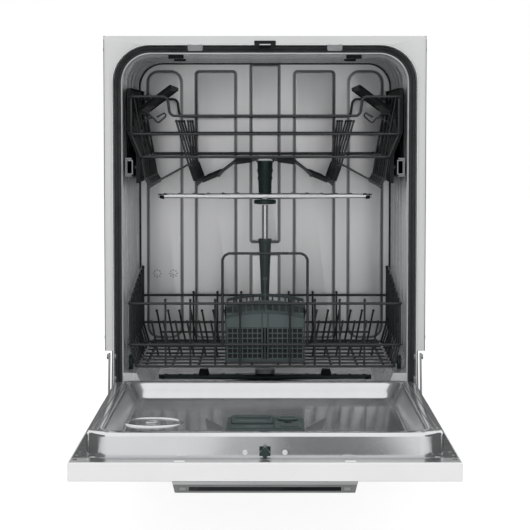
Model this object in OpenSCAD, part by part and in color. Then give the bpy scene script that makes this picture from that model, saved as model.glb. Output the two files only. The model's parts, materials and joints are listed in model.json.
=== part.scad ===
// Built-under dishwasher, 600 mm class, with its door swung down and both racks in.
// X runs left to right seen from the front, Y from front to back and Z up from the floor.

/* [Cabinet] */
// Width over the side panels
cabinet_w = 598; // [580:1:620]
// Height from the floor to the top of the front frame
cabinet_h = 818; // [814:1:840]
// Depth from the front frame to the back panel
cabinet_d = 548; // [540:1:580]
// Width of the painted front frame
frame_w = 15; // [13:0.5:17]
// Thickness of the painted front frame
frame_t = 2; // [1.5:0.1:3]
// Inner radius of the front frame's top corners
frame_r = 70; // [50:1:80]
// Height above the floor at which the side panels and the frame end
panel_foot = 233; // [225:1:245]
// Thickness of the side, top and back panels
panel_t = 1.2; // [0.8:0.1:2]

/* [Tub] */
// Thickness of the tub's steel sheet
tub_t = 1.2; // [0.8:0.1:2]
// Depth of the wide mouth that takes the closed door
mouth_d = 48; // [47:0.5:52]
// Step inward from the mouth to the chamber
mouth_step = 15.4; // [14:0.1:17]
// Depth from the front frame to the tub's back wall
tub_d = 500; // [495:1:510]
// Number of pressed ribs along each side wall
rib_count = 5; // [3:1:6]
// Width of a pressed rib
rib_w = 30; // [20:1:40]
// Height of a pressed rib
rib_h = 4; // [2:0.5:5]
// Height of the ledges that the lower rack rolls on
ledge_z = 186; // [183:0.5:187]
// Width of each ledge
ledge_w = 24; // [20:1:28]
// Height of the tub floor at its centre
floor_z = 130; // [126:0.5:132]
// Height of the sill under the door mouth
sill_z = 140; // [138:0.5:141]
// Radius of the sump opening in the tub floor
sump_r = 130; // [120:1:140]

/* [Door] */
// Height of the hinge pins above the floor
hinge_z = 118; // [116:0.5:119]
// Distance of the hinge pins in front of the front frame
hinge_out = 30; // [29:0.5:32]
// Length of the open door from the hinge pins to its top edge
door_l = 698; // [690:1:699]
// Depth of the white outer panel
door_t = 29; // [27:0.5:29]
// Wall thickness of the outer panel
door_skin = 1.2; // [0.8:0.1:2]
// Width of the steel inner door
liner_w = 553; // [545:1:555]
// Height of the inner door above the outer panel
liner_h = 40; // [36:0.5:40]
// Setback of the inner door from the top edge of the outer panel
liner_set = 35; // [30:1:40]
// Width of the flat rim round the recess of the inner door
rim_w = 26; // [22:0.5:30]
// Depth of the recess in the inner door
recess_d = 30; // [24:0.5:32]
// Corner radius of the inner door
liner_r = 40; // [36:1:44]
// Distance from the door's top edge to the dispenser
dispenser_set = 256; // [240:1:290]

/* [Controls] */
// Width of the control strip where it meets the outer panel
console_w = 282; // [260:1:320]
// Height of the control strip below the outer panel
console_h = 17; // [16:0.5:20]
// Depth of the control strip
console_d = 68; // [60:1:80]
// Width of the black glass strip
glass_w = 230; // [200:1:236]
// Travel of the power and start keys
key_travel = 1.2; // [0.8:0.1:1.5]

/* [Upper rack] */
// Half width of the rack at its top rail
upper_half = 254; // [250:0.5:254]
// Distance of both racks' front wires from the front frame
rack_front = 42; // [41:0.5:44]
// Distance of both racks' rear wires from the front frame
rack_rear = 478; // [470:1:480]
// Height of the upper rack's base rim
upper_rim_z = 594; // [592:0.5:598]
// Height of the raised ends of the top rail
upper_top_z = 707; // [695:1:715]
// Height of the dipped middle of the top rail
upper_dip_z = 671; // [660:1:680]
// Diameter of the frame wires of both racks
wire_d = 5; // [4:0.25:5.5]
// Diameter of the tines and floor wires
tine_d = 4; // [3:0.25:4.5]
// Rise of the upper rack on its height adjusters
rack_lift = 22; // [16:1:22]

/* [Lower rack] */
// Half width of the rack at its top rim
lower_half = 257; // [252:0.5:258]
// Height of the lowest floor wires
lower_floor_z = 199; // [198.5:0.5:202]
// Height of the front rim
lower_rim_z = 318; // [310:1:325]
// Height of the hoop handle
hoop_z = 413; // [390:1:420]
// Half width of the hoop handle
hoop_half = 80; // [70:1:90]
// Spacing of the plate tines
tine_pitch = 23; // [20:0.5:28]
// Height of the plate tines above their base wire
tine_h = 70; // [50:1:80]
// Lean of the plate tines
tine_lean = 11; // [5:0.5:15]
// Radius of the rack's wheels
wheel_r = 14; // [12:0.5:14]

/* [Spray parts] */
// Distance from the front frame to the axis of the spray arms
arm_y = 265; // [260:1:270]
// Length of both spray arms from tip to tip
arm_l = 425; // [380:1:430]
// Width of a spray arm at its hub
arm_w = 44; // [36:1:50]
// Height of the upper arm's underside
upper_arm_z = 506; // [505:0.5:508]
// Height of the lower arm's underside
lower_arm_z = 146; // [145:0.5:147]
// Diameter of the telescopic tube
tube_d = 13; // [12:0.1:14]
// Travel of the telescopic tube
tube_travel = 60; // [40:1:62]
// Radial clearance of turning and sliding fits
fit_gap = 0.08; // [0.05:0.01:0.1]

/* [Base] */
// Wall thickness of the plastic base
base_t = 3; // [2.5:0.1:4]
// Height of the base's underside above the floor
base_z = 22; // [20:0.5:26]
// Diameter of a foot's pad
foot_d = 40; // [34:1:46]
// Diameter of a foot's threaded stem
stem_d = 10; // [8:0.5:12]
// Outer diameter of the water inlet's thread
inlet_d = 26.4; // [24:0.1:27]
// Outer diameter of the drain spigot
drain_d = 19; // [16:0.5:21]
// Diameter of the worktop fixing holes
fixing_d = 5; // [4:0.5:6]
// Distance between the worktop fixing holes
fixing_pitch = 400; // [300:5:440]

/* [Hidden] */
$fn = 48;

// Smallest gap between pieces that only rest against each other
seat = 0.3;
// Flat sides of a round wire
wire_sides = 8;
// Steps in a quarter of a rounded corner
corner_steps = 8;

cabinet_half = cabinet_w / 2;
// The origin lies under the middle of the whole object, open door included
door_reach = hinge_out + door_l;
front_y = (door_reach - cabinet_d) / 2;

// Front frame and tub mouth
frame_half = cabinet_half - frame_w;
frame_top = cabinet_h - frame_w;
mouth_half = frame_half - seat - tub_t;
mouth_top = frame_top - seat - tub_t;
mouth_r = frame_r - seat - tub_t;
chamber_half = mouth_half - mouth_step;
chamber_top = mouth_top - mouth_step;
chamber_r = mouth_r - mouth_step;
rib_inner = chamber_half - rib_h;
// The lower body is as wide as the tub mouth outside
body_half = mouth_half + tub_t;
ledge_in = chamber_half - ledge_w;
pan_half = ledge_in - 20;
pan_rise = 8;
pan_t = tub_t * 1.3;

// Door, lying open along -Y from the hinge pins
hinge_y = -hinge_out;
door_end = -door_reach;
door_bottom = hinge_z - 2;
door_top = door_bottom + door_t;
liner_half = liner_w / 2;
liner_z = door_top + liner_h;
liner_near = door_end + liner_set;
liner_far = hinge_y - 28;
recess_z = liner_z - recess_d;
recess_half = liner_half - rim_w;
recess_near = liner_near + rim_w;
recess_far = liner_far - 12;
wall_run = 18;
far_run = 35;
liner_t = 1.5;

// Rack levels
rack_mid_z = upper_top_z - 70;
lower_cross_z = lower_floor_z + (wire_d + tine_d) / 2 * cos(180 / wire_sides) + seat;
// How deep two welded wires sink into each other
weld = 0.8;
post_out = (wire_d + tine_d) / 2 - weld;
side_start = rack_front + wire_d + tine_d + seat;
side_end = rack_rear - wire_d - tine_d - seat;
// Side wires run on until they seat against the corner posts
corner_start = rack_front + post_out + tine_d / 2 + seat;
corner_end = rack_rear - post_out - tine_d / 2 - seat;
fold_z = upper_rim_z - wire_d - seat + 2;

// Rails, nested from the wall inward
rail_z = 574.5;
rail_h = 35;
rail_out = rib_inner - seat;
rail_t = 1.5;

// Feet: two in front, one behind
foot_spots = [[-1, 70], [1, 70], [0, 470]];
foot_x = 245;
foot_pad_t = 10;
stem_top = 104;
boss_top = 62;

module from_front() translate([0, front_y, 0]) children();
module both_sides() {
    children();
    mirror([1, 0, 0]) children();
}

// Outline of a rounded rectangle, corner by corner, counter-clockwise
function rounded(x0, y0, x1, y1, r, steps = corner_steps) = [
    for (c = [[x1 - r, y1 - r, 0], [x0 + r, y1 - r, 90], [x0 + r, y0 + r, 180], [x1 - r, y0 + r, 270]])
        for (i = [0:steps])
            [c[0] + r * cos(c[2] + 90 * i / steps), c[1] + r * sin(c[2] + 90 * i / steps)]
];

// Outline of an arch: straight legs from the foot up, with two round top corners
function arch(half, foot, top, r) = [
    [half, foot],
    for (i = [0:corner_steps]) let (a = 90 * i / corner_steps) [half - r + r * cos(a), top - r + r * sin(a)],
    for (i = [0:corner_steps]) let (a = 90 * i / corner_steps) [r - half - r * sin(a), top - r + r * cos(a)],
    [-half, foot]
];

// Extrudes an outline drawn in X and Z from y0 back to y1
module along_y(y0, y1) translate([0, y1, 0]) rotate([90, 0, 0]) linear_extrude(y1 - y0) children();
// Extrudes an outline drawn in Y and Z from x0 to x1
module along_x(x0, x1) translate([x0, 0, 0]) rotate([90, 0, 90]) linear_extrude(x1 - x0) children();
module box(a, b) translate(a) cube(b - a);
module rod_x(x0, x1, d, y, z) translate([x0, y, z]) rotate([0, 90, 0]) cylinder(h = x1 - x0, d = d);
module rod_y(y0, y1, d, x, z) translate([x, y0, z]) rotate([-90, 0, 0]) cylinder(h = y1 - y0, d = d);
module rod_z(z0, z1, d, x, y) translate([x, y, z0]) cylinder(h = z1 - z0, d = d);

// Arch-shaped sheet from y0 to y1, its inside at the given half width, top and radius
module arch_sheet(half, foot, top, r, t, y0, y1) along_y(y0, y1) difference() {
    polygon(arch(half + t, foot, top + t, r + t));
    polygon(arch(half, foot - 1, top, r));
}

// A solid between two outlines with as many points each
module loft(low, z0, high, z1) {
    n = len(low);
    polyhedron(
        points = [for (p = low) [p[0], p[1], z0], for (p = high) [p[0], p[1], z1]],
        faces = [
            [for (i = [0:n - 1]) i],
            for (i = [0:n - 1]) [i, n + i, n + (i + 1) % n, (i + 1) % n],
            [for (i = [n - 1:-1:0]) n + i]
        ]
    );
}

// Straight wire from a to b
module wire(a, b, d) {
    v = b - a;
    turn = atan2(v[1], v[0]);
    tip = atan2(norm([v[0], v[1]]), v[2]);
    translate(a)
        rotate([0, tip, turn])
            rotate(180 / wire_sides)
                cylinder(h = norm(v), d = d, $fn = wire_sides);
}

function unit(v) = v / norm(v);
// Ring of points round point i of a bent wire whose bends all lie in the plane across n
function wire_ring(path, i, d, n) =
    let (
        before = unit(i > 0 ? path[i] - path[i - 1] : path[1] - path[0]),
        after = unit(i < len(path) - 1 ? path[i + 1] - path[i] : before),
        along = unit(before + after),
        across = cross(n, along) / (along * before)
    )
    [for (s = [0:wire_sides - 1])
        let (a = 360 * (s + 0.5) / wire_sides)
        path[i] + d / 2 * (cos(a) * across + sin(a) * n)];

// Bent wire along a path of points
module bent_wire(path, d, n) {
    s = wire_sides;
    last = (len(path) - 1) * s;
    polyhedron(
        points = [for (i = [0:len(path) - 1]) each wire_ring(path, i, d, n)],
        faces = [
            [for (k = [0:s - 1]) k],
            for (i = [0:len(path) - 2])
                for (k = [0:s - 1])
                    let (next = (k + 1) % s)
                    [i * s + k, (i + 1) * s + k, (i + 1) * s + next, i * s + next],
            [for (k = [s - 1:-1:0]) last + k]
        ]
    );
}

// Cabinet

module tub_wrap() color([0.78, 0.79, 0.8]) from_front() {
    // Wide mouth, step and chamber, with the ribs pressed into the chamber
    arch_sheet(mouth_half, sill_z, mouth_top, mouth_r, tub_t, 0, mouth_d);
    along_y(mouth_d - tub_t, mouth_d) difference() {
        polygon(arch(mouth_half + tub_t, ledge_z, mouth_top + tub_t, mouth_r + tub_t));
        polygon(arch(chamber_half, ledge_z - 1, chamber_top, chamber_r));
    }
    difference() {
        union() {
            arch_sheet(chamber_half, ledge_z, chamber_top, chamber_r, tub_t, mouth_d - tub_t, tub_d);
            for (y = rib_places()) rib_ring(y - rib_w / 2, y + rib_w / 2, -rib_h, tub_t);
        }
        for (y = rib_places())
            rib_ring(y - rib_w / 2 + tub_t, y + rib_w / 2 - tub_t, tub_t - rib_h, 2 * tub_t);
    }
}
function rib_places() = [for (i = [0:rib_count - 1]) mouth_d + (i + 0.6) * (tub_d - mouth_d) / rib_count];
// Band round the chamber from an inner to an outer offset from its inside
module rib_ring(y0, y1, inner, outer) along_y(y0, y1) difference() {
    polygon(arch(chamber_half + outer, ledge_z + 44, chamber_top + outer, chamber_r + outer));
    polygon(arch(chamber_half + inner, ledge_z + 43, chamber_top + inner, chamber_r + inner));
}

module tub_back() color([0.85, 0.85, 0.86]) from_front() {
    back_half = chamber_half + tub_t;
    difference() {
        union() {
            along_y(tub_d, tub_d + tub_t) {
                polygon(arch(back_half, base_top + seat, chamber_top + tub_t, chamber_r + tub_t));
                // Foot between the base's flanges, down to the tub floor
                polygon(arch(chamber_half - 8 - seat, floor_z - pan_t - 5, ledge_z, 1));
            }
            for (p = back_pads()) along_y(tub_d - pad_h, tub_d + tub_t)
                polygon(rounded(p[0], p[2], p[1], p[3], p[4]));
        }
        for (p = back_pads()) along_y(tub_d - pad_h + tub_t, tub_d + 2 * tub_t)
            polygon(rounded(p[0] + tub_t, p[2] + tub_t, p[1] - tub_t, p[3] - tub_t, p[4] - tub_t));
    }
    // Two round pressings low on the left
    for (x = [-17, 17]) rod_y(tub_d - pad_h - 1.5, tub_d - pad_h, 16, pad_x[0] - pad_w[0] / 2 + x, 341);
}
// Pressed panels of the back wall: outer, inner and middle ones, with even gaps between them
pad_h = 3;
pad_foot = ledge_z + 20;
pad_top = chamber_top - 20;
pad_gap = 26;
pad_edge = 19;
pad_unit = (2 * (chamber_half - pad_edge) - 4 * pad_gap) / (2 * 76 + 2 * 88 + 64);
pad_w = [76, 88, 64] * pad_unit;
// Inner ends of the outer and the inner panels
pad_x = [-chamber_half + pad_edge + pad_w[0], -pad_w[2] / 2 - pad_gap];
pad_r = 12;
function back_pads() = [
    for (side = [-1, 1]) each [
        side_pad(side, pad_x[0], pad_w[0], 26),
        side_pad(side, pad_x[1], pad_w[1], pad_r)
    ],
    [-pad_w[2] / 2, pad_w[2] / 2, 408, pad_top + 8, pad_r],
    [-pad_w[2] / 2, pad_w[2] / 2, pad_foot, 383, pad_r]
];
// Left, right, bottom, top and corner radius of a panel whose inner end lies at x on the left side
function side_pad(side, x, w, r) =
    side < 0 ? [x - w, x, pad_foot, pad_top, r] : [-x, w - x, pad_foot, pad_top, r];

// The pan's outline in X and Z: ledges at the sides, then down to a nearly flat floor
function pan_line(drop) = [
    [-chamber_half - tub_t, ledge_z - seat - drop], [-ledge_in, ledge_z - seat - drop],
    [-pan_half, floor_z + pan_rise - drop], [-sump_r - 14, floor_z - drop], [sump_r + 14, floor_z - drop],
    [pan_half, floor_z + pan_rise - drop],
    [ledge_in, ledge_z - seat - drop], [chamber_half + tub_t, ledge_z - seat - drop]
];
apron_half = mouth_half - seat;
function backward(list) = [for (i = [len(list) - 1:-1:0]) list[i]];
module tub_floor() color([0.72, 0.73, 0.74]) from_front() {
    difference() {
        union() {
            along_y(mouth_d, tub_d - seat) polygon(concat(pan_line(pan_t), backward(pan_line(0))));
            // Flat apron of the mouth with its raised sill
            box([-apron_half, frame_t, floor_z + 4], [apron_half, mouth_d, floor_z + 4 + tub_t]);
            box([-apron_half, frame_t, floor_z], [apron_half, frame_t + tub_t, sill_z - seat]);
            box([-apron_half, mouth_d - tub_t, floor_z - 2], [apron_half, mouth_d, floor_z + 5]);
            along_y(mouth_d - tub_t, mouth_d) polygon(concat(
                [[-apron_half, floor_z - 2], [apron_half, floor_z - 2], [apron_half, ledge_z - seat]],
                backward(pan_line(0)),
                [[-apron_half, ledge_z - seat]]
            ));
        }
        rod_z(floor_z - 10, floor_z + 20, 2 * sump_r, 0, arm_y);
        rod_z(floor_z - 10, floor_z + 20, salt_d + 10, salt_x, salt_y);
    }
}

module front_frame() color([0.88, 0.88, 0.87]) from_front() along_y(0, frame_t) difference() {
    polygon(arch(cabinet_half, panel_foot, cabinet_h, 4));
    polygon(arch(frame_half, panel_foot - 1, frame_top, frame_r));
}

module door_gasket() color([0.13, 0.14, 0.14]) from_front() {
    // From just behind the closed door's rim to the mouth's rear step
    arch_sheet(mouth_half - 13, ledge_z - 40, mouth_top - 13, mouth_r - 13, 13 - seat,
        hinge_y + liner_z - hinge_z + 0.5, mouth_d - tub_t - seat);
}

module sill_seal() color([0.16, 0.17, 0.17]) from_front()
    box([-mouth_half + 16, 8, floor_z + 4 + tub_t], [mouth_half - 16, 18, sill_z + 2]);

module side_panel() {
    y0 = frame_t;
    y1 = cabinet_d - panel_t;
    top = cabinet_h - panel_t;
    box([cabinet_half - panel_t, y0, panel_foot], [cabinet_half, y1, top]);
    // Folded edge along the back, and one along the foot
    box([cabinet_half - 14, y1 - panel_t, panel_foot], [cabinet_half - panel_t, y1, top]);
    box([cabinet_half - 14, y0, panel_foot], [cabinet_half - panel_t, y1, panel_foot + panel_t]);
}
module side_panel_right() color([0.82, 0.82, 0.82]) from_front() side_panel();
module side_panel_left() color([0.82, 0.82, 0.82]) from_front() mirror([1, 0, 0]) side_panel();

module top_plate() color([0.7, 0.71, 0.72]) from_front() difference() {
    union() {
        box([-cabinet_half, frame_t, cabinet_h - panel_t], [cabinet_half, cabinet_d - panel_t, cabinet_h]);
        both_sides() box([cabinet_half - 30, frame_t + 40, mouth_top + tub_t + seat],
            [cabinet_half - 30 + panel_t, cabinet_d - 60, cabinet_h - panel_t]);
    }
    for (side = [-1, 1])
        rod_z(cabinet_h - 3 * panel_t, cabinet_h + 1, fixing_d, side * fixing_pitch / 2, fixing_y);
}
fixing_y = 24;

module back_panel() color([0.66, 0.67, 0.68]) from_front() difference() {
    union() {
        box([-cabinet_half, cabinet_d - panel_t, panel_foot], [cabinet_half, cabinet_d, cabinet_h]);
        box([-body_half, cabinet_d - panel_t, base_top - 20], [body_half, cabinet_d, panel_foot + 1]);
    }
    for (x = [-120, 0, 120]) rod_y(cabinet_d - 2 * panel_t, cabinet_d + 1, 14, x, panel_foot + 40);
}

base_back = cabinet_d - 30;
base_top = ledge_z - seat - pan_t - seat;
module base_tray() color([0.2, 0.21, 0.21]) from_front() difference() {
    union() {
        difference() {
            box([-body_half, base_front, base_z], [body_half, base_back, base_top]);
            box([-body_half + base_t, base_front + base_t, base_z + base_t],
                [body_half - base_t, base_back - base_t, base_top + 1]);
        }
        // Flange that carries the tub's ledges
        both_sides() box([chamber_half - 8, base_front, base_top - base_t], [body_half, base_back, base_top]);
        for (s = foot_spots) rod_z(base_z, boss_top, stem_d + 12, s[0] * foot_x, s[1]);
        // Gland for the mains lead
        rod_y(base_back - 1, base_back + 9, 22, mains_x, mains_z);
    }
    // Room for the tub floor, which dips over the front wall
    box([-pan_half - 22, base_front - 1, floor_z - 8],
        [pan_half + 22, base_front + base_t + 1, base_top + 1]);
    for (s = foot_spots) rod_z(base_z - 1, boss_top + 1, stem_d + 2 * fit_gap, s[0] * foot_x, s[1]);
    rod_y(base_back - 2 * base_t, base_back + 1, inlet_d + 6, inlet_x, inlet_z);
    rod_y(base_back - 2 * base_t, base_back + 1, drain_d + 6, drain_x, drain_z);
    rod_y(base_back - 2 * base_t, base_back + 10, 10, mains_x, mains_z);
}
base_front = mouth_d + 1.3;
inlet_x = -200;
inlet_z = 100;
drain_x = 200;
drain_z = 84;
mains_x = 110;
mains_z = 80;

module kick_plate() color([0.15, 0.15, 0.16]) from_front() {
    box([-body_half + 1, base_front - seat - 3, 14], [body_half - 1, base_front - seat, floor_z - 26]);
    box([-body_half + 1, base_front - seat - 14, floor_z - 29],
        [body_half - 1, base_front - seat - 3, floor_z - 26]);
}

// Water parts in the base

sump_bottom = 48;
sump_shelf = floor_z - 9;
pump_z = 72;
outlet_end = 106;
module sump() color([0.17, 0.18, 0.18]) from_front() difference() {
    union() {
        rod_z(sump_bottom, floor_z - 12, 150, 0, arm_y);
        rod_z(floor_z - 13, floor_z - pan_t - seat, 2 * sump_r + 16, 0, arm_y);
        rod_z(floor_z - 13, floor_z - 1, 2 * sump_r - 1, 0, arm_y);
        // Outlets to the two pumps
        rod_x(60, outlet_end, 34, arm_y, pump_z);
        rod_y(arm_y + 60, arm_y + outlet_end, 26, 0, pump_z);
    }
    rod_z(sump_bottom + 4, floor_z, 142, 0, arm_y);
    rod_z(sump_shelf, floor_z, 2 * sump_r - 10, 0, arm_y);
    rod_x(50, outlet_end + 4, 27, arm_y, pump_z);
    rod_y(arm_y + 50, arm_y + outlet_end + 4, 19, 0, pump_z);
}

module circulation_pump() color([0.24, 0.25, 0.26]) from_front() {
    rod_x(outlet_end + seat, 150, 74, arm_y, pump_z);
    rod_x(150, 235, 84, arm_y, pump_z);
    rod_x(235, 243, 30, arm_y, pump_z);
    box([160, arm_y - 24, base_z + base_t], [225, arm_y + 24, pump_z - 30]);
}

module drain_pump() color([0.3, 0.31, 0.32]) from_front() {
    rod_y(arm_y + outlet_end + seat, arm_y + 150, 56, 0, pump_z);
    rod_y(arm_y + 150, arm_y + 180, 46, 0, pump_z);
    box([-18, arm_y + 112, base_z + base_t], [18, arm_y + 145, pump_z - 16]);
    // Pipe across to the drain spigot, which ends behind the base
    rod_x(20, drain_x, 14, arm_y + 130, drain_z);
    rod_y(arm_y + 123, base_back + 5, drain_d - 3, drain_x, drain_z);
    rod_y(base_back + 4, cabinet_d - 3, drain_d, drain_x, drain_z);
}

module inlet_valve() color([0.86, 0.86, 0.84]) from_front() difference() {
    union() {
        box([inlet_x - 26, base_back - 62, inlet_z - 24],
            [inlet_x + 26, base_back - base_t - seat, inlet_z + 22]);
        rod_y(base_back - 8, base_back + 2, inlet_d - 3, inlet_x, inlet_z);
        rod_y(base_back + 1, cabinet_d - 4, inlet_d, inlet_x, inlet_z);
        rod_z(base_z + base_t, inlet_z - 20, 24, inlet_x, base_back - 32);
        rod_y(base_back - 84, base_back - 60, 18, inlet_x, inlet_z);
    }
    rod_y(base_back - 40, cabinet_d + 1, inlet_d - 8, inlet_x, inlet_z);
}

softener_w = 144;
softener_x = -body_half + base_t + 18.7;
salt_x = softener_x + 92;
salt_y = 130;
salt_d = 56;
module softener_tank() color([0.8, 0.8, 0.78]) from_front() {
    difference() {
        union() {
            box([softener_x, 92, base_z + base_t], [softener_x + softener_w, 196, floor_z - 18]);
            rod_z(floor_z - 19, floor_z + 6, salt_d, salt_x, salt_y);
            rod_z(floor_z - 3, floor_z + 3.5, salt_d + 8, salt_x, salt_y);
            box([softener_x + 4, 195, 70], [softener_x + 112, 232, 84]);
        }
        rod_z(floor_z - 30, floor_z + 7, salt_d - 8, salt_x, salt_y);
    }
}

module salt_cap() color([0.85, 0.86, 0.86]) from_front() difference() {
    union() {
        rod_z(floor_z - 8, floor_z + 6 + seat, salt_d - 8 - 2 * fit_gap, salt_x, salt_y);
        rod_z(floor_z + 6 + seat, floor_z + 9, salt_d + 2, salt_x, salt_y);
        box([salt_x - 22, salt_y - 3, floor_z + 8], [salt_x + 22, salt_y + 3, lower_arm_z - 3]);
    }
    rod_z(floor_z - 9, floor_z + 4, salt_d - 16, salt_x, salt_y);
}

hub_top = 167;
filter_x = 30;
filter_y = arm_y - 31;
filter_d = 48;
plate_top = sump_shelf + 3;
module filter_plate() color([0.55, 0.56, 0.57]) from_front() {
    difference() {
        rod_z(sump_shelf, plate_top, 2 * sump_r - 10 - 2 * seat, 0, arm_y);
        rod_z(sump_shelf - 1, plate_top + 1, filter_d + 2 * seat, filter_x, filter_y);
    }
    // Fixed hub that carries the lower arm
    rod_z(plate_top - 1, lower_arm_z - seat, 30, 0, arm_y);
    rod_z(lower_arm_z - 1, lower_arm_z + 14, 16, 0, arm_y);
    rod_z(lower_arm_z + 13, hub_top, 40, 0, arm_y);
}

module filter_cylinder() color([0.62, 0.63, 0.64]) from_front() difference() {
    union() {
        rod_z(plate_top - 46, plate_top + 1, filter_d, filter_x, filter_y);
        rod_z(plate_top + seat, plate_top + 4, filter_d + 6, filter_x, filter_y);
        box([filter_x - 22, filter_y - 3, plate_top + 3], [filter_x + 22, filter_y + 3, plate_top + 14]);
    }
    rod_z(plate_top - 47, plate_top - 2, filter_d - 5, filter_x, filter_y);
}

// A flat blade that is widest at its hub and narrows to both tips
function blade() = [
    [arm_l / 2, -5], [arm_l / 2, 5], [arm_w * 0.6, arm_w / 2], [-arm_w * 0.6, arm_w / 2],
    [-arm_l / 2, 5], [-arm_l / 2, -5], [-arm_w * 0.6, -arm_w / 2], [arm_w * 0.6, -arm_w / 2]
];
module spray_arm(z, h, bore) translate([0, arm_y, 0]) difference() {
    union() {
        translate([0, 0, z]) linear_extrude(h) polygon(blade());
        rod_z(z, z + h + 1, arm_w - 4, 0, 0);
        // Nozzles along the top of the blade
        for (i = [1:6]) for (side = [-1, 1])
            rod_z(z + h - 1, z + h + 1.5, 7, side * (26 + i * (arm_l / 2 - 40) / 6), 0);
    }
    rod_z(z - 1, z + h + 2, bore, 0, 0);
}
module lower_spray_arm() color([0.8, 0.81, 0.82]) from_front() {
    spray_arm(lower_arm_z, 11, 16 + 2 * fit_gap);
    for (side = [-1, 1]) translate([side * 122, arm_y, 0])
        box([-10, -12, lower_arm_z + 10.5], [10, 12, hub_top]);
}

// Rails and hinges

// C-shaped rail, open towards the middle of the tub
module rail_c(x_wall, x_open, h, y0, y1) both_sides() difference() {
    box([x_open, y0, rail_z - h / 2], [x_wall, y1, rail_z + h / 2]);
    box([x_open - 1, y0 - 1, rail_z - h / 2 + rail_t], [x_wall - rail_t, y1 + 1, rail_z + h / 2 - rail_t]);
}
rail_open = rail_out - 12;
rail_gap = 0.4;
module rack_rails() color([0.6, 0.61, 0.62]) from_front()
    rail_c(rail_out, rail_open, rail_h, rack_front + 10, rack_rear + 8);
module rail_middles() color([0.7, 0.71, 0.72]) from_front()
    rail_c(rail_out - rail_t - rail_gap, rail_open + 1, rail_h - 2 * (rail_t + rail_gap),
        rack_front + 12, rack_rear);
pin_z = rail_z;
adjuster_x = rail_open - 8;
module rail_inners() color([0.5, 0.51, 0.52]) from_front() both_sides() {
    h = rail_h - 4 * (rail_t + rail_gap);
    y0 = rack_front + 11;
    y1 = rack_rear - 4;
    difference() {
        box([rail_open - 2, y0, rail_z - h / 2], [rail_out - 2 * (rail_t + rail_gap), y1, rail_z + h / 2]);
        box([rail_open, y0 - 1, rail_z - h / 2 + 2], [rail_out, y1 + 1, rail_z + h / 2 - 2]);
    }
    // Pins that carry the rack's height adjusters
    for (y = adjuster_places()) rod_x(adjuster_x - 3, rail_open - 1, 8, y, pin_z);
}
function adjuster_places() = [rack_front + 68, rack_rear - 78];

module rack_adjusters() color([0.12, 0.14, 0.14]) from_front() both_sides() {
    foot = pin_z - rack_lift - 8;
    inner = upper_half + wire_d / 2 + seat;
    difference() {
        along_y(side_start, side_end) polygon([
            [adjuster_x - 5, foot], [adjuster_x, foot], [adjuster_x, upper_rim_z + 6],
            [inner + 2.5, upper_rim_z + 46], [inner + 2.5, upper_top_z + 16], [inner, upper_top_z + 16],
            [inner, upper_rim_z + 47], [adjuster_x - 5, upper_rim_z + 7]
        ]);
        // Upright slots, one pin wide, as long as the rack can rise
        for (y = adjuster_places()) box([adjuster_x - 7, y - 4 - fit_gap, pin_z - rack_lift - 4],
            [adjuster_x + 1, y + 4 + fit_gap, pin_z + 4 + fit_gap]);
    }
}

pin_d = 8;
bracket_x = body_half + 1;
arm_x = bracket_x + 4;
arm_t = 3;
module hinge_brackets() color([0.62, 0.63, 0.64]) from_front() both_sides() {
    difference() {
        along_x(bracket_x, bracket_x + 3) union() {
            polygon([
                [2, base_z + 20], [base_front + 20, base_z + 20], [base_front + 20, hinge_z],
                [46, hinge_z + 40], [46, panel_foot - 3], [26, panel_foot - 3], [4, hinge_z + 40],
                [2, hinge_z + 18], [hinge_y + 4, hinge_z + 9], [hinge_y, hinge_z - 9], [2, hinge_z - 20]
            ]);
            translate([hinge_y, hinge_z]) circle(r = 9);
        }
        rod_x(bracket_x - 1, bracket_x + 4, 5, 36, panel_foot - 20);
    }
    rod_x(bracket_x + 2, arm_x + arm_t + 1, pin_d, hinge_y, hinge_z);
    // Bosses that rest on the tub's mouth and on the base
    rod_x(body_half, bracket_x + 1, 10, 30, hinge_z + 40);
    rod_x(body_half, bracket_x + 1, 10, base_front + 10, base_z + 34);
}

lever_y = hinge_y + 25;
lever_z = panel_foot - 10;
module hinge_arms() color([0.55, 0.56, 0.57]) from_front() both_sides() {
    difference() {
        along_x(arm_x, arm_x + arm_t) union() {
            circle_at(hinge_y, hinge_z, 11);
            polygon([[hinge_y - 120, door_bottom + door_skin], [hinge_y - 60, door_bottom + door_skin],
                [hinge_y - 48, door_bottom + 6], [hinge_y - 18, door_bottom + 6], [hinge_y, hinge_z - 6],
                [hinge_y + 8, hinge_z], [hinge_y, hinge_z + 10], [hinge_y - 20, door_top - 5],
                [hinge_y - 120, door_top - 5]]);
            polygon([[hinge_y - 10, hinge_z], [hinge_y + 10, hinge_z],
                [lever_y + 7, lever_z], [lever_y - 7, lever_z]]);
            circle_at(lever_y, lever_z, 7);
        }
        rod_x(arm_x - 1, arm_x + arm_t + 1, pin_d + 2 * fit_gap, hinge_y, hinge_z);
    }
    rod_x(arm_x + arm_t - 0.5, arm_x + arm_t + 3, 10, lever_y, lever_z);
}
module circle_at(x, y, r) translate([x, y]) circle(r = r);

// Counterbalance springs on blocks inside the base
module door_springs() color([0.5, 0.51, 0.52]) from_front() both_sides() {
    x = body_half - base_t - 12;
    rod_y(320, 480, 14, x, 60);
    box([x - 8, 476, 50], [body_half - base_t, 486, 70]);
}

module latch_striker() color([0.1, 0.13, 0.12]) from_front() difference() {
    box([-20, frame_t + seat, mouth_top - 6], [20, 26, mouth_top]);
    box([-10, frame_t - 1, mouth_top - 7], [10, 20, mouth_top - 0.8]);
}

// Bolts through the mouth's lower corners
module cabinet_screws() color([0.75, 0.76, 0.77]) from_front() both_sides()
    for (z = [178, 220]) rod_x(mouth_half - 3, mouth_half, 12, 22, z);

// Door

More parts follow.
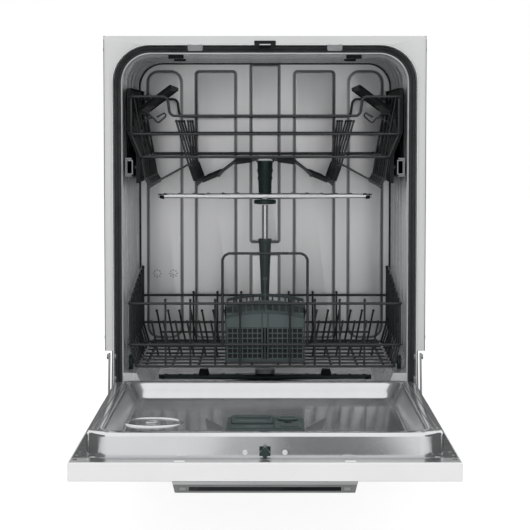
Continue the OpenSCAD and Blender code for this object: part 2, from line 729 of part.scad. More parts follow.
module door_outer_panel() color([0.9, 0.9, 0.9]) from_front() difference() {
    box([-cabinet_half, door_end, door_bottom], [cabinet_half, hinge_y - 2, door_top]);
    box([-cabinet_half + door_skin, door_end + door_skin, door_bottom + door_skin],
        [cabinet_half - door_skin, hinge_y - 2 - door_skin, door_top - door_skin]);
    // Window under the inner door, and room for the hinge arms at the lower corners
    box([-liner_half + 12, liner_near + 12, door_bottom + 2],
        [liner_half - 12, liner_far - 10, door_top + 1]);
    both_sides() box([bracket_x - 2, hinge_y - 21, door_bottom - 1],
        [cabinet_half + 1, hinge_y, door_top + 1]);
}

function liner_outline(inset) =
    rounded(-liner_half + inset, liner_near + inset, liner_half - inset, liner_far - inset, liner_r - inset);
// Recess outline at the rim and at its floor, swollen by a wall thickness for the underside
function recess_high(grow) =
    rounded(-recess_half - grow, recess_near - grow, recess_half + grow, recess_far + grow, 30);
function recess_low(grow) =
    rounded(-recess_half + wall_run - grow, recess_near + wall_run - grow,
        recess_half - wall_run + grow, recess_far - far_run + grow, 20);
module recess(grow) translate([0, 0, -grow])
    loft(recess_low(grow), recess_z, recess_high(grow * 1.2), liner_z + 0.01 + grow);
module door_liner() color([0.76, 0.77, 0.78]) from_front() difference() {
    translate([0, 0, door_top]) linear_extrude(liner_h) polygon(liner_outline(0));
    recess(0);
    // Hollow underside
    difference() {
        translate([0, 0, door_top - 1]) linear_extrude(liner_h + 1 - liner_t) polygon(liner_outline(liner_t));
        recess(liner_t);
    }
    box([-9, liner_near - 1, latch_z - 8], [9, liner_near + 3, latch_z + 8]);
    // Opening for the dispenser
    box([dispenser_x0 + 4, dispenser_y0 + 4, recess_z - 3],
        [dispenser_x1 - 4, dispenser_y1 - 4, recess_z + 1]);
}

console_z = door_bottom - console_h;
console_wall = 2;
module door_console() color([0.16, 0.17, 0.18]) from_front() difference() {
    y1 = door_end + console_d;
    along_y(door_end, y1) polygon([[-console_w / 2 + 4.4, console_z], [console_w / 2 - 4.4, console_z],
        [console_w / 2, door_bottom], [-console_w / 2, door_bottom]]);
    // Chamber for the electronics behind the control face
    box([-console_w / 2 + 7, door_end + console_wall, console_z + console_wall],
        [console_w / 2 - 7, door_end + 34, door_bottom - console_wall]);
    // Grip pocket, open towards the door's lower end
    box([-console_w / 2 + 12, door_end + 38, console_z - 1], [console_w / 2 - 12, y1 - 6, door_bottom - 3]);
    box([-glass_w / 2 - 0.2, door_end - 1, strip_z - 2.9],
        [glass_w / 2 + 0.2, door_end + console_wall + 1, strip_z + 2.9]);
    for (side = [-1, 1]) box([side * key_x - 5.3, door_end - 1, strip_z - 2.9],
        [side * key_x + 5.3, door_end + console_wall + 1, strip_z + 2.9]);
}
strip_z = console_z + 6;
key_x = glass_w / 2 + 10;

module display_glass() color([0.03, 0.03, 0.04]) from_front() {
    box([-glass_w / 2, door_end, strip_z - 2.7], [glass_w / 2, door_end + 3, strip_z + 2.7]);
    box([-glass_w / 2 + 2, door_end + 3, strip_z - 3.5], [glass_w / 2 - 2, board_y - seat, strip_z + 3.5]);
}
board_y = door_end + 9;
module control_board() color([0.1, 0.35, 0.2]) from_front() {
    box([-console_w / 2 + 9, board_y, console_z + console_wall + seat],
        [console_w / 2 - 9, board_y + 1.6, door_bottom - console_wall - seat]);
    for (x = [-90, -30, 40, 96]) box([x - 9, board_y + 1.6, strip_z - 2], [x + 9, board_y + 10, strip_z + 5]);
}
module key(side) translate([side * key_x, 0, 0]) {
    box([-5, door_end, strip_z - 2.6], [5, door_end + 3, strip_z + 2.6]);
    box([-2, door_end + 3, strip_z - 2], [2, board_y - key_travel - seat, strip_z + 2]);
}
module power_key() color([0.7, 0.71, 0.72]) from_front() key(-1);
module start_key() color([0.7, 0.71, 0.72]) from_front() key(1);

latch_z = door_top + 12;
// The closed tongue ends just under the striker's roof
latch_out = min(20, mouth_top - 2.4 - (hinge_z + hinge_y - liner_near));
module door_latch() color([0.1, 0.16, 0.15]) from_front() {
    // Pointed tongue that stands out of the inner door's top edge
    translate([0, liner_near, latch_z]) rotate([90, 0, 0]) linear_extrude(latch_out)
        polygon([[-8, 0], [0, -9.5], [8, 0], [0, 9.5]]);
    box([-8.5, liner_near - seat, latch_z - 7.5], [8.5, liner_near + 4, latch_z + 7.5]);
    box([-20, liner_near + liner_t + seat, door_top + 1], [20, liner_near + 22, liner_z - liner_t - seat]);
}

dispenser_x0 = -64;
dispenser_x1 = 65;
dispenser_y0 = door_end + dispenser_set;
dispenser_y1 = dispenser_y0 + 133;
dispenser_z = recess_z + 4;
module dispenser_body() color([0.25, 0.29, 0.29]) from_front() difference() {
    union() {
        box([dispenser_x0, dispenser_y0, recess_z], [dispenser_x1, dispenser_y1, recess_z + 3]);
        box([dispenser_x0 + 4.5, dispenser_y0 + 4.5, door_bottom + 6],
            [dispenser_x1 - 4.5, dispenser_y1 - 4.5, dispenser_z]);
    }
    // Detergent cup and rinse-aid filler
    box([-50, dispenser_y0 + 48, recess_z - 24], [8, dispenser_y1 - 10, dispenser_z + 1]);
    rod_z(recess_z - 20, dispenser_z + 1, 24, rinse_x, rinse_y);
}
rinse_x = 38;
rinse_y = dispenser_y0 + 92;
module dispenser_lid() color([0.3, 0.34, 0.34]) from_front() {
    z = dispenser_z + seat;
    box([-55, dispenser_y0 + 43, z], [13, dispenser_y1 - 4, z + 3]);
    box([-50, dispenser_y1 - 46, z + 3], [8, dispenser_y1 - 24, z + 6]);
}
module rinse_cap() color([0.34, 0.38, 0.38]) from_front() difference() {
    union() {
        rod_z(dispenser_z + seat, dispenser_z + 4, 34, rinse_x, rinse_y);
        rod_z(dispenser_z - 8, dispenser_z + 1, 24 - 2 * fit_gap, rinse_x, rinse_y);
        box([rinse_x - 13, rinse_y - 3, dispenser_z + 3], [rinse_x + 13, rinse_y + 3, dispenser_z + 7]);
    }
    rod_z(dispenser_z - 9, dispenser_z - 1, 18, rinse_x, rinse_y);
}

module lip_plugs() color([0.93, 0.93, 0.93]) from_front() {
    for (side = [-1, 1]) {
        rod_y(liner_near - 1.5, liner_near, 8, side * 30.5, door_top + 10);
        box([side * 130 - 8, door_end + 4, door_top], [side * 130 + 8, door_end + 14, door_top + 1]);
    }
}

// Upper rack

function upper_foot_half() = upper_half - 22;
// Top rail with raised ends and a dipped middle, mid wire and base rim, held by two end posts
function dip_half() = [
    [upper_half + 1, upper_top_z], [188, upper_top_z], [182, upper_top_z - 6],
    [179, upper_dip_z + 6], [173, upper_dip_z]
];
function mirrored(line) = concat([for (p = line) [-p[0], p[1]]], backward(line));
module upper_end_grid(y, rail, inward) {
    foot = upper_foot_half();
    post_y = y + inward * post_out;
    bent_wire(in_plane(mirrored(dip_half()), y), wire_d, [0, 1, 0]);
    wire([-upper_half, y, rack_mid_z], [upper_half, y, rack_mid_z], wire_d);
    wire([-foot - 3, y, upper_rim_z], [foot + 3, y, upper_rim_z], rail);
    for (side = [-1, 1]) {
        x = side * (upper_half - 3);
        line = [[side * foot, upper_rim_z - 1], [x, rack_mid_z], [x, upper_top_z + 1]];
        bent_wire(in_plane(line, post_y), tine_d, [0, 1, 0]);
    }
}
module upper_side_grid() {
    foot = upper_foot_half();
    lean = (upper_half - foot) / (upper_top_z - upper_rim_z);
    mid_x = foot + lean * (rack_mid_z - upper_rim_z);
    wire([upper_half, corner_start, upper_top_z - 2], [upper_half, corner_end, upper_top_z - 2], wire_d);
    wire([mid_x, side_start, rack_mid_z], [mid_x, side_end, rack_mid_z], wire_d);
    wire([foot, corner_start, upper_rim_z], [foot, corner_end, upper_rim_z], wire_d);
    posts = 4;
    for (i = [0:posts - 1]) {
        y = side_start + (i + 0.5) * (side_end - side_start) / posts;
        wire([foot - post_out, y, upper_rim_z - 1], [upper_half - post_out, y, upper_top_z + 1], tine_d);
    }
}
module upper_basket_walls() color([0.2, 0.21, 0.22]) from_front() {
    upper_end_grid(rack_front, wire_d, 1);
    upper_end_grid(rack_rear, wire_d + 1, -1);
    both_sides() upper_side_grid();
}

// Half of the floor's folded section, from the rim inward
function upper_section(z) = [
    [-upper_foot_half(), upper_rim_z - wire_d / 2 - 2 * seat], [-upper_foot_half() + 6, z - 36],
    [-218, z - 51], [-141, z - 9], [-127, z - 46], [-120, z - 43],
    [-86, z - 29], [-59, z - 8], [-15, z - 2]
];
function in_plane(line, y) = [for (p = line) [p[0], y, p[1]]];
module upper_basket_floor() color([0.2, 0.21, 0.22]) from_front() {
    z = fold_z;
    rows = 7;
    pitch = (rack_rear - rack_front) / rows;
    both_sides() for (i = [0:rows]) {
        y = rack_front + (i == 0 ? 0.2 : i == rows ? rows - 0.2 : i) * pitch;
        bent_wire(in_plane(upper_section(z), y), tine_d, [0, 1, 0]);
    }
    // Lengthwise wires under the folds
    for (x = [-upper_foot_half() + 6, -218, -127, -86, -15, 15, 86, 127, 218, upper_foot_half() - 6]) {
        drop = lookup(abs(x), [[15, 2], [86, 29], [127, 46], [218, 51], [upper_foot_half() - 6, 36]]);
        wire([x, rack_front + 0.1 * pitch, z - drop - tine_d + 0.5],
            [x, rack_rear - 0.1 * pitch, z - drop - tine_d + 0.5], tine_d);
    }
    wire([-16, arm_y, z - 2], [16, arm_y, z - 2], tine_d);
    // Leaning cup tines, each row on a base wire of its own
    both_sides() {
        x = -133.6;
        wire([x, rack_front + 0.3 * pitch, z - 41.2], [x, rack_rear - 0.3 * pitch, z - 41.2], tine_d);
        for (i = [0:rows - 1]) wire([x, rack_front + (i + 0.5) * pitch, z - 42.2],
            [i % 2 == 0 ? -168 : -148, rack_front + (i + 0.5) * pitch, z + 72], tine_d);
    }
}

module upper_feed_hub() color([0.1, 0.14, 0.14]) from_front() {
    top = fold_z - 2 - 1.5 * tine_d + 0.5 - seat;
    difference() {
        union() {
            translate([0, arm_y, upper_arm_z + 36]) cylinder(h = top - upper_arm_z - 36, d1 = 26, d2 = 32);
            rod_z(upper_arm_z + 13, upper_arm_z + 37, 26, 0, arm_y);
            rod_z(upper_arm_z - 1, upper_arm_z + 14, 16, 0, arm_y);
            rod_z(upper_arm_z - 9, upper_arm_z - seat, 44, 0, arm_y);
        }
        // Funnel that the telescopic tube feeds
        rod_z(upper_arm_z - 10, upper_arm_z + 30, 10, 0, arm_y);
    }
}
module upper_spray_arm() color([0.8, 0.81, 0.82]) from_front() spray_arm(upper_arm_z, 11, 16 + 2 * fit_gap);

shelf_x = upper_half - 15;
shelf_z = 683;
shelf_w = 76;
shelf_tilt = 37;
module cup_shelf() translate([-shelf_x, 0, shelf_z]) rotate([0, -shelf_tilt, 0]) difference() {
    union() {
        box([4, rack_front + 60, -1.5], [shelf_w, rack_rear - 60, 1.5]);
        rod_y(rack_front + 60, rack_rear - 60, 8, 0, 0);
        box([0, rack_front + 60, -1.5], [5, rack_rear - 60, 1.5]);
    }
    for (i = [0:6]) box([16, rack_front + 72 + i * 44, -3], [shelf_w - 10, rack_front + 100 + i * 44, 3]);
}
module cup_shelf_left() color([0.12, 0.14, 0.14]) from_front() cup_shelf();
module cup_shelf_right() color([0.12, 0.14, 0.14]) from_front() mirror([1, 0, 0]) cup_shelf();

// Lower rack

function lower_foot_half() = lower_half - 12;
function hoop_line() = [
    [hoop_half, lower_floor_z + 39], [hoop_half, hoop_z - 12],
    [hoop_half - 4, hoop_z - 4], [hoop_half - 12, hoop_z]
];
module lower_end_grid(y, rim_z, posts, inward) {
    foot = lower_foot_half();
    post_y = y + inward * post_out;
    wire([-lower_half, y, rim_z], [lower_half, y, rim_z], wire_d);
    wire([-lower_half, y, lower_floor_z + 41], [lower_half, y, lower_floor_z + 41], wire_d);
    wire([-foot, y, lower_floor_z], [foot, y, lower_floor_z], wire_d);
    for (side = [-1, 1]) bent_wire([[side * (foot - 2), post_y, lower_floor_z - 1],
        [side * (lower_half - 2), post_y, lower_floor_z + 41],
        [side * (lower_half - 2), post_y, rim_z + 1]], tine_d, [0, 1, 0]);
    for (x = posts) wire([x, post_y, lower_floor_z - 1], [x, post_y, rim_z + 7], tine_d);
}
module lower_side_grid() {
    foot = lower_foot_half();
    rise = 40;
    mid_z = lower_floor_z + 41;
    wire([lower_half, corner_start, lower_rim_z - 2], [lower_half, side_end, lower_rim_z + rise], wire_d);
    wire([lower_half, corner_start, mid_z], [lower_half, corner_end, mid_z], wire_d);
    wire([foot, corner_start, lower_floor_z], [foot, corner_end, lower_floor_z], wire_d);
    posts = 8;
    for (i = [0:posts - 1]) {
        f = (i + 0.5) / posts;
        y = side_start + f * (side_end - side_start);
        x = lower_half - post_out;
        line = [[foot - post_out, lower_floor_z - 1], [x, mid_z], [x, lower_rim_z + f * rise + 4]];
        bent_wire(in_plane(line, y), tine_d, [0, 1, 0]);
    }
    for (y = wheel_places()) rod_x(foot, wheel_x + wheel_t + 1, wheel_pin_d, y, wheel_z);
}
module lower_basket_walls() color([0.2, 0.21, 0.22]) from_front() {
    lower_end_grid(rack_front, lower_rim_z, [for (n = [-4:4]) if (n != 0) n * 47], 1);
    // Hoop handle on the outside of the front wires
    bent_wire(in_plane(mirrored(hoop_line()), rack_front - wire_d + weld), wire_d, [0, 1, 0]);
    lower_end_grid(rack_rear, lower_rim_z - 21, [-150, -100, -50, 50, 100, 150], -1);
    both_sides() lower_side_grid();
}

module lower_basket_floor() color([0.2, 0.21, 0.22]) from_front() {
    half = lower_foot_half() - wire_d - tine_d - seat;
    y0 = side_start;
    y1 = side_end;
    // Lengthwise wires end against the foot wires of the end grids
    flat = wire_d / 2 * cos(180 / wire_sides) + seat;
    for (x = [-225:50:225])
        wire([x, rack_front + flat, lower_floor_z], [x, rack_rear - flat, lower_floor_z], wire_d);
    for (y = [y0 + 8, y0 + 62, y0 + 116, y0 + 170, arm_y + 24, arm_y + 78, arm_y + 132, y1 - 8])
        wire([-half, y, lower_cross_z], [half, y, lower_cross_z], tine_d);
    // Fixed tine rows beside the cutlery basket
    both_sides() tine_row(fixed_tine_y, lower_floor_z + wire_d / 2 + flat, basket_half + 16);
}

// One row of leaning plate tines on its own base wire, left of the middle from a start on
tine_base_z = lower_cross_z + (tine_d + wire_d) / 2 + seat;
module tine_row(y, z, start) {
    reach = tine_h * tan(tine_lean);
    count = floor((lower_foot_half() - reach - start - 14) / tine_pitch);
    last = start + count * tine_pitch;
    rod_x(-last - 6, -start + 6, wire_d, y, z);
    wire([-last - reach * 0.35 - 4, y + 3, z + tine_h * 0.35],
        [-start - reach * 0.35 + 4, y + 3, z + tine_h * 0.35], tine_d);
    for (i = [0:count])
        wire([-start - i * tine_pitch, y, z], [-start - i * tine_pitch - reach, y, z + tine_h], tine_d);
}
tine_y = arm_y + 79;
fixed_tine_y = arm_y - 105;
module tine_row_left() color([0.2, 0.21, 0.22]) from_front() tine_row(tine_y, tine_base_z, 46);
module tine_row_right() color([0.2, 0.21, 0.22]) from_front() mirror([1, 0, 0])
    tine_row(tine_y, tine_base_z, 46);

basket_half = 76;
basket_y0 = rack_front + 14;
basket_y1 = basket_y0 + 150;
basket_z = lower_cross_z + tine_d / 2 + seat;
basket_top = 312;
// Two lattice baskets joined by a middle wall and a raised grip
module cutlery_basket() color([0.24, 0.28, 0.28]) from_front() {
    t = 2.4;
    difference() {
        box([-basket_half, basket_y0, basket_z], [basket_half, basket_y1, basket_top]);
        for (side = [-1, 1]) box([side > 0 ? t / 2 : -basket_half + t, basket_y0 + t, basket_z + t],
            [side > 0 ? basket_half - t : -t / 2, basket_y1 - t, basket_top + 1]);
        // Lattice openings front and back
        for (i = [0:11]) for (k = [0:3]) {
            x = -basket_half + 5.5 + i * (2 * basket_half - 8) / 12;
            z = basket_z + 8 + k * 21;
            box([x, basket_y0 - 1, z], [x + 9, basket_y1 + 1, z + 16]);
        }
    }
    along_x(-t / 2, t / 2) polygon([[basket_y0 + 30, basket_top - 1], [basket_y1 - 30, basket_top - 1],
        [basket_y1 - 45, basket_top + 48], [basket_y0 + 45, basket_top + 48]]);
}

tower_top = 428;
// The tower's foot clears the rim of the open door
tower_foot = ledge_z + 3;
tower_waist = 304;
tube_top = upper_arm_z - 11;
tube_foot = tower_top - 25;
module spray_tower() color([0.12, 0.18, 0.17]) from_front() difference() {
    union() {
        // Clip plate on the floor wires, docking cup over the lower hub, column, cone and cap
        box([-30, arm_y - 20, lower_floor_z + wire_d / 2 + seat],
            [30, arm_y + 20, lower_floor_z + wire_d / 2 + 2.7]);
        rod_z(tower_foot, tower_foot + 14, 34, 0, arm_y);
        rod_z(tower_foot + 13, tower_waist, 14, 0, arm_y);
        translate([0, arm_y, tower_waist]) cylinder(h = tower_top - 4 - tower_waist, d1 = 14, d2 = 25);
        rod_z(tower_top - 4, tower_top, 27, 0, arm_y);
    }
    rod_z(tube_foot - tube_travel - 4, tower_top + 1, tube_d + 2 * fit_gap, 0, arm_y);
    rod_z(tower_foot - 1, tube_foot - tube_travel, 8, 0, arm_y);
    rod_z(tower_foot - 1, tower_foot + 9, 28, 0, arm_y);
}
module tower_tube() color([0.82, 0.83, 0.84]) from_front() difference() {
    rod_z(tube_foot, tube_top, tube_d, 0, arm_y);
    rod_z(tube_foot - 1, tube_top + 1, tube_d - 2, 0, arm_y);
}

wheel_z = ledge_z + wheel_r + seat;
wheel_x = lower_half - 4;
wheel_t = 8;
wheel_pin_d = 6;
function wheel_places() = [rack_front + 60, rack_rear - 50];
module wheels(y) both_sides() difference() {
    rod_x(wheel_x, wheel_x + wheel_t, 2 * wheel_r, y, wheel_z);
    rod_x(wheel_x - 1, wheel_x + wheel_t + 1, wheel_pin_d + 2 * fit_gap, y, wheel_z);
}
module front_wheels() color([0.14, 0.2, 0.19]) from_front() wheels(wheel_places()[0]);
module rear_wheels() color([0.14, 0.2, 0.19]) from_front() wheels(wheel_places()[1]);

// Feet

module foot(i) {
    x = foot_spots[i][0] * foot_x;
    y = foot_spots[i][1];
    rod_z(0, foot_pad_t, foot_d, x, y);
    rod_z(foot_pad_t - 1, stem_top, stem_d, x, y);
}
module foot_front_left() color([0.1, 0.1, 0.11]) from_front() foot(0);
module foot_front_right() color([0.1, 0.1, 0.11]) from_front() foot(1);
module foot_rear() color([0.1, 0.1, 0.11]) from_front() foot(2);

tub_wrap();
tub_back();
tub_floor();
front_frame();
door_gasket();
sill_seal();
side_panel_left();
side_panel_right();
top_plate();
back_panel();
base_tray();
kick_plate();
sump();
circulation_pump();
drain_pump();
inlet_valve();
softener_tank();
filter_plate();
rack_rails();
hinge_brackets();
latch_striker();
cabinet_screws();
door_springs();
filter_cylinder();
salt_cap();
lower_spray_arm();
foot_front_left();
foot_front_right();
foot_rear();
door_outer_panel();
door_liner();
door_console();
display_glass();
door_latch();
dispenser_body();
hinge_arms();
control_board();
lip_plugs();
dispenser_lid();
rinse_cap();
power_key();
start_key();
upper_basket_walls();
upper_basket_floor();
rack_adjusters();
upper_feed_hub();
upper_spray_arm();
cup_shelf_left();
cup_shelf_right();
rail_middles();
rail_inners();
lower_basket_walls();
lower_basket_floor();
tine_row_left();
tine_row_right();
cutlery_basket();
spray_tower();
tower_tube();
front_wheels();
rear_wheels();
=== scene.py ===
"""Looks of the dishwasher: its camera, light, materials and the pieces that dress the frame."""

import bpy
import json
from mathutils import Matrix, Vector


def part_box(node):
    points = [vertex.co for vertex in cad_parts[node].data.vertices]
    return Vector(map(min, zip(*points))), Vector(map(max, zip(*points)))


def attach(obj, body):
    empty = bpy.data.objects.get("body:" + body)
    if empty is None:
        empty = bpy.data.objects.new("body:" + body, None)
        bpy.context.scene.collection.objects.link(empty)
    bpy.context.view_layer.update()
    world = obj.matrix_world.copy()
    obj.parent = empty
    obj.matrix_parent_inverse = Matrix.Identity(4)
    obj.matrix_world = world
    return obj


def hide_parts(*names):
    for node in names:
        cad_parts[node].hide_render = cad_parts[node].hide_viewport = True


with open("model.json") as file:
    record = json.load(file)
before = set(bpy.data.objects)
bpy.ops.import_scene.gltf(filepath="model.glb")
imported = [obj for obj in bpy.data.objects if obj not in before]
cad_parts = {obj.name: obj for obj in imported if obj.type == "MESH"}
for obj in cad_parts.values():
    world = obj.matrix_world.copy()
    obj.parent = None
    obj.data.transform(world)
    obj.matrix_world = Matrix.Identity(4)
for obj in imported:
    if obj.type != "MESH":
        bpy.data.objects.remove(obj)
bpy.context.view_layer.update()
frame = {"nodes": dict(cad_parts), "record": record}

import json
from math import acos, ceil, copysign, cos, hypot, radians, sin, tan, tau

import bmesh
import bpy
from mathutils import Vector

# Lengths here are in millimetres, and y is measured from the front frame's face.
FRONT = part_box("front_frame")[0].y * 1000
SIDES = (-1, 1)


def span(node):
    """Lowest and highest corner of a node in the script's millimetres."""
    lo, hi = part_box(node)
    return [Vector((c.x * 1000, c.y * 1000 - FRONT, c.z * 1000)) for c in (lo, hi)]


def smooth(t):
    t = min(max(t, 0.0), 1.0)
    return t * t * (3 - 2 * t)


def mix(a, b, t):
    return a + (b - a) * t


def even(a, b, count):
    """Places from a to b with as many equal gaps as count says."""
    return [a + i * (b - a) / count for i in range(count + 1)]


# Outlines


def circle(x, y, rx, ry, count):
    """Points round an ellipse."""
    return [(x + rx * cos(tau * k / count), y + ry * sin(tau * k / count)) for k in range(count)]


def rounded(x0, y0, x1, y1, r, steps=8):
    """A rectangle with round corners, counter-clockwise."""
    points = []
    corners = ((x1 - r, y1 - r), (x0 + r, y1 - r), (x0 + r, y0 + r), (x1 - r, y0 + r))
    for turn, (cx, cy) in enumerate(corners):
        for i in range(steps + 1):
            a = radians(90 * turn + 90 * i / steps)
            points.append((cx + r * cos(a), cy + r * sin(a)))
    return points


def arch(half, foot, top, r, legs=(), steps=12):
    """An arch in X and Z from the right foot over the top to the left foot."""
    right = [(half, foot)] + [(half, z) for z in legs]
    for i in range(steps + 1):
        a = radians(90 * i / steps)
        right.append((half - r + r * cos(a), top - r + r * sin(a)))
    return right + [(-x, z) for x, z in reversed(right)]


def mirrored(line):
    return [(-x, y, z) for x, y, z in line] + list(reversed(line))


def fillet(path, r, steps=4):
    """Rounds the corners of a path."""
    out = [path[0]]
    for a, b, c in zip(path, path[1:], path[2:]):
        u, w = a - b, c - b
        lu, lw = u.length, w.length
        u, w = u / lu, w / lw
        angle = acos(min(max(u.dot(w), -1.0), 1.0))
        if angle > radians(176):
            out.append(b)
            continue
        t = min(r / tan(angle / 2), 0.45 * lu, 0.45 * lw)
        p, q = b + u * t, b + w * t
        for k in range(steps + 1):
            s = k / steps
            out.append(p * (1 - s) ** 2 + b * 2 * s * (1 - s) + q * s * s)
    out.append(path[-1])
    return out


class Shape:
    """A mesh in the making."""

    def __init__(self):
        self.verts = []
        self.faces = []

    def add(self, verts, faces):
        base = len(self.verts)
        self.verts += [Vector(v) for v in verts]
        self.faces += [[base + i for i in f] for f in faces]

    def skin(self, rings, caps=True):
        """Joins closed rings of as many points each."""
        n = len(rings[0])
        faces = [
            (i * n + k, i * n + (k + 1) % n, (i + 1) * n + (k + 1) % n, (i + 1) * n + k)
            for i in range(len(rings) - 1)
            for k in range(n)
        ]
        if caps:
            faces.append(tuple(range(n - 1, -1, -1)))
            faces.append(tuple((len(rings) - 1) * n + k for k in range(n)))
        self.add([p for ring in rings for p in ring], faces)

    def tube(self, path, d, bend=6.0, sides=10, ends="round"):
        """A round wire along a path, its ends flat, round or ball-shaped."""
        path = [Vector(p) for p in path]
        if len(path) > 2:
            path = fillet(path, bend)
        r = d / 2
        if ends != "flat":
            path[0] = path[0] + (path[1] - path[0]).normalized() * r * 0.8
            path[-1] = path[-1] + (path[-2] - path[-1]).normalized() * r * 0.8
        last = len(path) - 1
        along = [(path[min(i + 1, last)] - path[max(i - 1, 0)]).normalized() for i in range(last + 1)]
        side = along[0].orthogonal().normalized()
        rings = []

        def ring(p, t, radius):
            up = t.cross(side).normalized()
            return [p + (side * c + up * s) * radius for c, s in circle(0, 0, 1, 1, sides)]

        for p, t in zip(path, along):
            side = (side - t * side.dot(t)).normalized()
            rings.append(ring(p, t, r))
        if ends == "round":
            rings.append(ring(path[-1] + along[-1] * r * 0.6, along[-1], r * 0.72))
        if ends == "ball":
            for a in (-50, -15, 20, 50, 78):
                turn = radians(a)
                middle = path[-1] + along[-1] * r * 1.4 * sin(turn)
                rings.append(ring(middle, along[-1], r * 1.45 * cos(turn)))
        self.skin(rings)

    def revolve(self, profile, centre=(0, 0, 0), axis="z", sides=32):
        """Turns a profile of (radius, height) pairs round an axis."""
        def place(c, s, h):
            return Vector({"z": (c, s, h), "x": (h, c, s), "y": (s, h, c)}[axis]) + Vector(centre)

        self.skin([[place(c, s, h) for c, s in circle(0, 0, r, r, sides)] for r, h in profile])

    def prism(self, outline, a, b, axis="z"):
        """Extrudes an outline from a to b along an axis."""
        def place(p, h):
            return {"z": (p[0], p[1], h), "y": (p[0], h, p[1]), "x": (h, p[0], p[1])}[axis]

        self.skin([[place(p, a) for p in outline], [place(p, b) for p in outline]])

    def block(self, lo, hi):
        self.prism([(lo[0], lo[1]), (hi[0], lo[1]), (hi[0], hi[1]), (lo[0], hi[1])], lo[2], hi[2])

    def both_sides(self):
        """Adds the mirror image in X of all that is there."""
        n = len(self.verts)
        self.verts += [Vector((-v.x, v.y, v.z)) for v in self.verts]
        self.faces += [[n + i for i in reversed(f)] for f in self.faces]
        return self


def piece(name, shape, body, finish, replaces=(), bevel=0.0, angle=35.0, segments=2):
    """Turns a shape into a piece that rides on a body, and gives it its finish."""
    mesh = bpy.data.meshes.new(name)
    mesh.from_pydata([(v.x / 1000, (v.y + FRONT) / 1000, v.z / 1000) for v in shape.verts], [], shape.faces)
    bm = bmesh.new()
    bm.from_mesh(mesh)
    bmesh.ops.recalc_face_normals(bm, faces=bm.faces)
    bm.to_mesh(mesh)
    bm.free()
    mesh.polygons.foreach_set("use_smooth", [True] * len(mesh.polygons))
    mesh.set_sharp_from_angle(angle=radians(angle))
    mesh.materials.append(finishes[finish])
    obj = bpy.data.objects.new(name, mesh)
    bpy.context.scene.collection.objects.link(obj)
    if bevel:
        mod = obj.modifiers.new("edges", "BEVEL")
        mod.width = bevel / 1000
        mod.segments = segments
        mod.limit_method = "ANGLE"
        mod.angle_limit = radians(40)
        mod.harden_normals = True
    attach(obj, body)
    if replaces:
        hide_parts(*replaces)


def wire_piece(name, shape, body, *replaces):
    piece(name, shape, body, "rack_coating", replaces, angle=60)


# Materials

WHITE = (1, 1, 1, 1)
finishes = {}


class Graph:
    """The shader nodes of a material or of the world."""

    def __init__(self, owner):
        owner.use_nodes = True
        self.tree = owner.node_tree
        self.tree.nodes.clear()

    def link(self, a, b):
        self.tree.links.new(a, b)

    def add(self, kind, *first, **others):
        """A node with its inputs set to numbers or fed by sockets; _ stands for a blank."""
        node = self.tree.nodes.new(kind)
        values = list(zip(node.inputs, first))
        values += [(node.inputs[key.replace("_", " ")], value) for key, value in others.items()]
        for socket, value in values:
            if isinstance(value, bpy.types.NodeSocket):
                self.link(value, socket)
            else:
                socket.default_value = value
        return node

    def calculate(self, operation, a, b):
        node = self.add("ShaderNodeMath", a, b)
        node.operation = operation
        return node.outputs[0]


class Look(Graph):
    """A procedural finish on the object's own coordinates, in metres."""

    def __init__(self, name, **numbers):
        finishes[name] = bpy.data.materials.new(name)
        super().__init__(finishes[name])
        self.shader = self.add("ShaderNodeBsdfPrincipled", **numbers)
        self.add("ShaderNodeOutputMaterial", self.shader.outputs[0])
        self.place = self.add("ShaderNodeTexCoord").outputs["Object"]

    def noise(self, scale, detail=2.0, stretch=None):
        place = self.place
        if stretch:
            place = self.add("ShaderNodeMapping", place, Scale=stretch).outputs[0]
        return self.add("ShaderNodeTexNoise", place, Scale=scale, Detail=detail).outputs[0]

    def specks(self, scale):
        return self.add("ShaderNodeTexVoronoi", self.place, Scale=scale).outputs["Distance"]

    def spread(self, value, low, high, start=0.3, end=0.7):
        node = self.add("ShaderNodeMapRange", value, From_Min=start, From_Max=end, To_Min=low, To_Max=high)
        return node.outputs[0]

    def roughness(self, value):
        self.link(value, self.shader.inputs["Roughness"])

    def tones(self, value, dark, light, worn=None):
        """Colour between two tones, and a third one on the edges."""
        ramp = self.add("ShaderNodeValToRGB", value)
        for stop, position, tone in zip(ramp.color_ramp.elements, (0.32, 0.68), (dark, light)):
            stop.position = position
            stop.color = (*tone, 1)
        colour = ramp.outputs[0]
        if worn:
            edge = self.add("ShaderNodeNewGeometry").outputs["Pointiness"]
            blend = self.add("ShaderNodeMix")
            blend.data_type = "RGBA"
            self.link(self.spread(edge, 0.0, 1.0, 0.56, 0.68), blend.inputs[0])
            self.link(colour, blend.inputs[6])
            blend.inputs[7].default_value = (*worn, 1)
            colour = blend.outputs[2]
        self.link(colour, self.shader.inputs["Base Color"])

    def bump(self, height, strength, depth, over=None):
        node = self.add("ShaderNodeBump", Height=height, Strength=strength, Distance=depth)
        if over:
            self.link(over, node.inputs["Normal"])
        self.link(node.outputs[0], self.shader.inputs["Normal"])
        return node.outputs[0]


def around(colour, spread):
    """A darker and a lighter tone of a colour."""
    return [c * (1 - spread) for c in colour], [min(c * (1 + spread), 1.0) for c in colour]


def steel(name, colour, rough, grain, tone=0.02, strength=0.03, metal=1.0, waves=0.0):
    """Sheet metal rolled or brushed along one direction."""
    look = Look(name, Metallic=metal)
    look.tones(look.noise(30, 2, grain), *around(colour, tone))
    brushed = look.noise(420, 3, grain)
    cloudy = look.spread(look.noise(7, 3), -0.015, 0.02)
    look.roughness(look.calculate("ADD", look.spread(brushed, *rough), cloudy))
    hollow = look.bump(look.noise(3, 1), waves, 0.004) if waves else None
    look.bump(brushed, strength, 0.0001, hollow)


